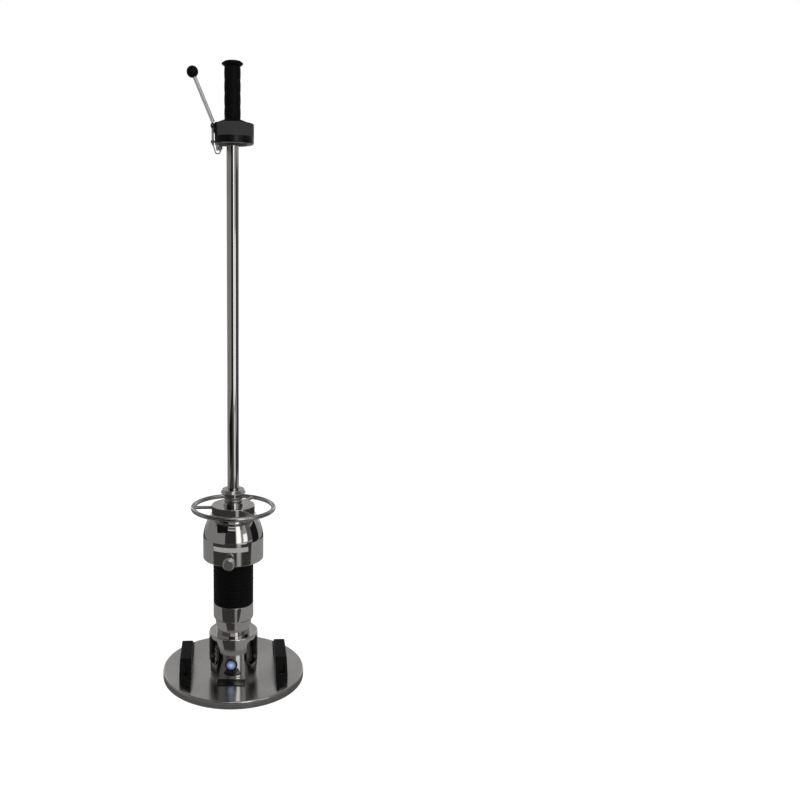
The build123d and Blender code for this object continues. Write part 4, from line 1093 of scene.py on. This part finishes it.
# %% Cap, grip and lever ball
cap_radius, grip_bottom = 31, 1141.1
profile = [(rod_bore, head_top), (cap_radius, head_top, 0.4), (cap_radius, head_top + 2, 0.8)]
cap_disc = lathe("head_disc", profile + [(17, grip_bottom, 0.8), (rod_bore, grip_bottom)], 128)
dress(cap_disc, "guide", "moulded_black", "black_plastic", "head_cap")
grip_radius, grip_flange, grip_top, flange_radius = 15, 1237.1, 1246.6, 20.5
swell_count, swell_steps, swell_height = 4, 12, 0.7
swell_pitch = (grip_flange - grip_bottom) / swell_count
profile = [(rod_bore, grip_bottom)]
for index in range(swell_count * swell_steps + 1):
    share = index / swell_steps
    swell = swell_height * abs(sin(pi * share)) ** 0.7
    profile.append((grip_radius + swell, grip_bottom + share * swell_pitch))
profile += [(flange_radius, grip_flange + 4.4, 1.0), (flange_radius, grip_flange + 6, 1.0)]
profile += [(15.5, grip_top, 2.5), (0, grip_top), (0, rod_top), (rod_bore, rod_top)]
grip = lathe("grip_sleeve", profile, 128)
dress(grip, "guide", "rubber_black", "black_rubber", "hand_grip")
ball_low, ball_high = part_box("lever_ball")
ball_radius, lever_hole, hole_floor = 11, 3.78, 3
lever_run, lever_rise, ball_steps = 37.4, 87.9, 40
ball_foot = -degrees(acos(lever_hole / ball_radius))
ball_tilt = Matrix.Rotation(-atan2(lever_run, lever_rise), 4, "Y")
ball_place = Matrix.Translation((ball_low + ball_high) / 2) @ ball_tilt
latitudes = [radians(ball_foot + (90 - ball_foot) * step / ball_steps) for step in range(ball_steps)]
profile = [(ball_radius * cos(turn), ball_radius * sin(turn)) for turn in latitudes]
profile += [(0, ball_radius), (0, hole_floor), (lever_hole, hole_floor)]
ball = lathe("ball_knob", profile, 96, ball_place)
dress(ball, "lever", "moulded_black", "black_plastic", "lever_ball")
print("grip top mm", grip_top)

# %% [markdown]
# ## Camera
# The photo was taken from above the weight, with the object left of the middle. The place, lens and tilt
# come from a fit of the rims of plate, hub, weight, ring and head to their pixels.

# %% Camera
photo_pixels, focal_pixels = 800, 844.4
centre_across, centre_down = 285.2, 411.5
camera_back, camera_height = 1.6899, 0.8942
pan, dip, roll = radians(3.594), radians(10.688), radians(0.555)
lens_data = bpy.data.cameras.new("camera")
lens_data.sensor_width = 36.0
lens_data.lens = focal_pixels / photo_pixels * lens_data.sensor_width
lens_data.shift_x = 0.5 - centre_across / photo_pixels
lens_data.shift_y = centre_down / photo_pixels - 0.5
camera = put("camera", lens_data)
aim = Matrix.Rotation(-pan, 4, "Z") @ Matrix.Rotation(pi / 2 - dip, 4, "X") @ Matrix.Rotation(roll, 4, "Z")
camera.matrix_world = Matrix.Translation((0, -camera_back, camera_height)) @ aim
scene.camera = camera
print("lens mm", round(lens_data.lens, 2))

# %% [markdown]
# ## White world and floor
# The background is white for the camera, for mirrors and for glass, while the light that falls on the
# object stays at a plain level. The floor glows for the same rays, so that it comes out white and keeps a
# faint shadow.

# %% World and floor
world = bpy.data.worlds.new("studio")
scene.world = world
world.use_nodes = True
world.node_tree.nodes.clear()
sky = Graph(world.node_tree)
sky_light = 0.62
sockets = {"Strength": sky_light + (1 - sky_light) * sky.seen(), "Color": grey(1.0)}
background = sky.node("ShaderNodeBackground", {}, sockets)
sky.node("ShaderNodeOutputWorld", {}, {"Surface": background})


@finish
def pale_floor(graph):
    tone = graph.blend(graph.cloud(3.0), grey(0.6), grey(0.62))
    lit = graph.node("ShaderNodeBsdfDiffuse", {}, {"Color": tone})
    glow = graph.node("ShaderNodeEmission", {}, {"Color": grey(1.0), "Strength": 0.75 * graph.seen()})
    return graph.node("ShaderNodeAddShader", {}, {0: lit, 1: glow})


def sheet(name, corners):
    """Flat piece between four corners."""
    mesh = bpy.data.meshes.new(name)
    mesh.from_pydata(corners, [], [(0, 1, 2, 3)])
    return put(name, mesh)


far, floor_z = 8, -0.6 * MM
corners = [(-far, -far), (far, -far), (far, far), (-far, far)]
floor = sheet("floor", [(x, y, floor_z) for x, y in corners])
floor.data.materials.append(finishes["pale_floor"])
print("floor half width m", far)

# %% [markdown]
# ## Room
# Mirror steel shows the whole room. In the photo it is dark in the middle, grey at the sides, and has two
# narrow bright lines right of the middle. A room with real lamps could give that, but slowly and with
# noise. So the room is painted on a floor, a round wall and a ceiling that only reflections see. A dark
# card stands nearer, for the black patch on the weight's shoulder.

# %% Tones of the room
floor_tone = (0.05, 0.047, 0.042, 1.0)


@finish
def room_tone(graph):
    """Later zones cover earlier ones. Bearings are in degrees from the camera's side, lengths in metres."""
    x, y, z = graph.point()
    ahead, turn, reach = 0 - y, graph.bearing(x, y), graph.reach(x, y)
    on_floor = graph.ramp(z, 0.01, 0.02, 1.0, 0.0)
    on_ceiling = graph.ramp(z, 3.394, 3.396)

    def panel(left, right, low, high, soft=0.8):
        return graph.band(turn, left, right, soft) * graph.band(z, low, high, 0.025)

    near_edge = graph.ramp(x, -0.02, 0.15, 0.16, 0.3)
    dark = graph.ramp(ahead - near_edge, -0.008, 0.008) * graph.band(x, -1.45, 2.2, 0.03) * on_floor
    streak = graph.band(turn, graph.ramp(reach, 0.3, 0.8, 7, 13), graph.ramp(reach, 0.3, 0.8, 19, 28), 4.0)
    shade_right = graph.band(turn, 74.5, 110, 0.8) * graph.ramp(reach, 1.55, 1.75)
    around = graph.band(turn, -165, -40, 2.0) + graph.band(turn, 34, 165, 2.0)
    front, line_half = (-31, 9.5), 0.09
    lines = [panel(-22, front[1], line - line_half, line + line_half) for line in (1.72, 2.2, 2.74)]
    far_floor = graph.band(turn, 15, 50, 3.0) * graph.ramp(reach, 1.5, 1.7) * on_floor
    ceiling = graph.band(turn, -15, 95, 8.0) * graph.ramp(reach, 0.6, 0.9) * on_ceiling
    zones = {
        "back of the room": (graph.ramp(ahead, -2.6, -1.6, 1.0, 0.0), grey(0.4)),
        "top of the wall": (graph.ramp(z, 2.9, 3.39), grey(0.12)),
        "high panel on the left": (panel(-85, -30, 1.4, 3.4, 4.0), grey(0.12)),
        "high panel on the right": (panel(29, 85, 1.56, 3.4, 4.0), grey(0.14)),
        "dark floor": (dark, floor_tone),
        "pale streak on it": (dark * streak * graph.ramp(reach, 0.3, 0.7, 0.6, 1.0), grey(0.46)),
        "floor near the plate": (graph.ramp(reach, 0.2, 0.207, 1.0, 0.0), grey(0.22)),
        "floor at its rim": (graph.ramp(reach, 0.17, 0.176, 1.0, 0.0), grey(0.12)),
        "front panel": (panel(*front, 0.02, 1.38), grey(0.032)),
        "black edge over it": (panel(*front, 1.38, 1.6), grey(0.006)),
        "dark ring on the floor": (around * graph.band(reach, 1.08, 1.45, 0.03) * on_floor, grey(0.045)),
        "upper front panel": (panel(*front, 1.6, 3.0), grey(0.11)),
        "three lines on it": (lines[0] + lines[1] + lines[2], grey(0.62)),
        "shade on the right": (shade_right * graph.ramp(z, 1.3, 1.4, 1.0, 0.0), grey(0.012)),
        "panel on the right": (panel(55, 75, 0.1, 1.6), grey(0.13)),
        "tall strip light": (panel(12, 29, 0.05, 3.0, 3.0), grey(1.65)),
        "short strip light": (panel(38, 54, 0.1, 1.0, 2.0), grey(1.45)),
        "dim strip over it": (panel(41, 55, 1.0, 2.1, 2.0), grey(0.42)),
        "far pale floor": (far_floor, grey(0.75)),
        "ceiling light": (ceiling, grey(0.9)),
        "strip lights at the back": (panel(145, 155, 0.1, 2.2) + panel(-158, -148, 0.1, 2.2), grey(1.2)),
    }
    tone = graph.blend(graph.ramp(x, -0.6, 0.6), grey(0.265), grey(0.33))
    for mask, colour in zones.values():
        tone = graph.blend(mask, tone, colour)
    return graph.node("ShaderNodeEmission", {}, {"Color": tone, "Strength": 1.0})


@finish
def dark_card(graph):
    return graph.node("ShaderNodeEmission", {}, {"Color": grey(0.009), "Strength": 1.0})


print("finishes in all:", len(finishes))

# %% Room and card that only reflections see
room_radius, room_height = 3000, 3400
room_hole, room_floor = plate_radius + 0.5, 0.4
profile = [(room_hole, room_floor), (room_radius, room_floor), (room_radius, room_height), (0, room_height)]
profile += [(0, room_height + 1), (room_radius + 1, room_height + 1), (room_radius + 1, 0), (room_hole, 0)]
room = lathe("room", profile, 128)
card_reach = 300
card_corners = [(-60, 379), (-22, 414), (-26, 585), (-77, 487)]
card = sheet("card", [facing(turn - 90, card_reach, height).translation for turn, height in card_corners])
for piece, material in ((room, "room_tone"), (card, "dark_card")):
    finishes[material].cycles.emission_sampling = "NONE"
    piece.data.materials.append(finishes[material])
    for ray in ("camera", "diffuse", "transmission", "volume_scatter", "shadow"):
        setattr(piece, "visible_" + ray, False)
print("room radius mm", room_radius, "card reach mm", card_reach)

# %% [markdown]
# ## Light
# One large soft lamp above the camera lights the blacks and the dull metals. Mirrors don't see it,
# because the painted room already gives them their light.

# %% Soft light from above
lamp_data = bpy.data.lights.new("overhead", "AREA")
lamp_data.shape = "RECTANGLE"
lamp_data.size, lamp_data.size_y = 2.2, 1.6
lamp_data.energy = 0.9 * pi * lamp_data.size * lamp_data.size_y
lamp = put("overhead", lamp_data)
lamp_place, lamp_target = Vector((0.26, -1.5, 3.0)), Vector((0, 0, 0.6))
lamp_turn = (lamp_place - lamp_target).to_track_quat("Z", "Y").to_matrix().to_4x4()
lamp.matrix_world = Matrix.Translation(lamp_place) @ lamp_turn
lamp.visible_camera = False
lamp.visible_glossy = False
print("lamp watts", round(lamp_data.energy, 2))
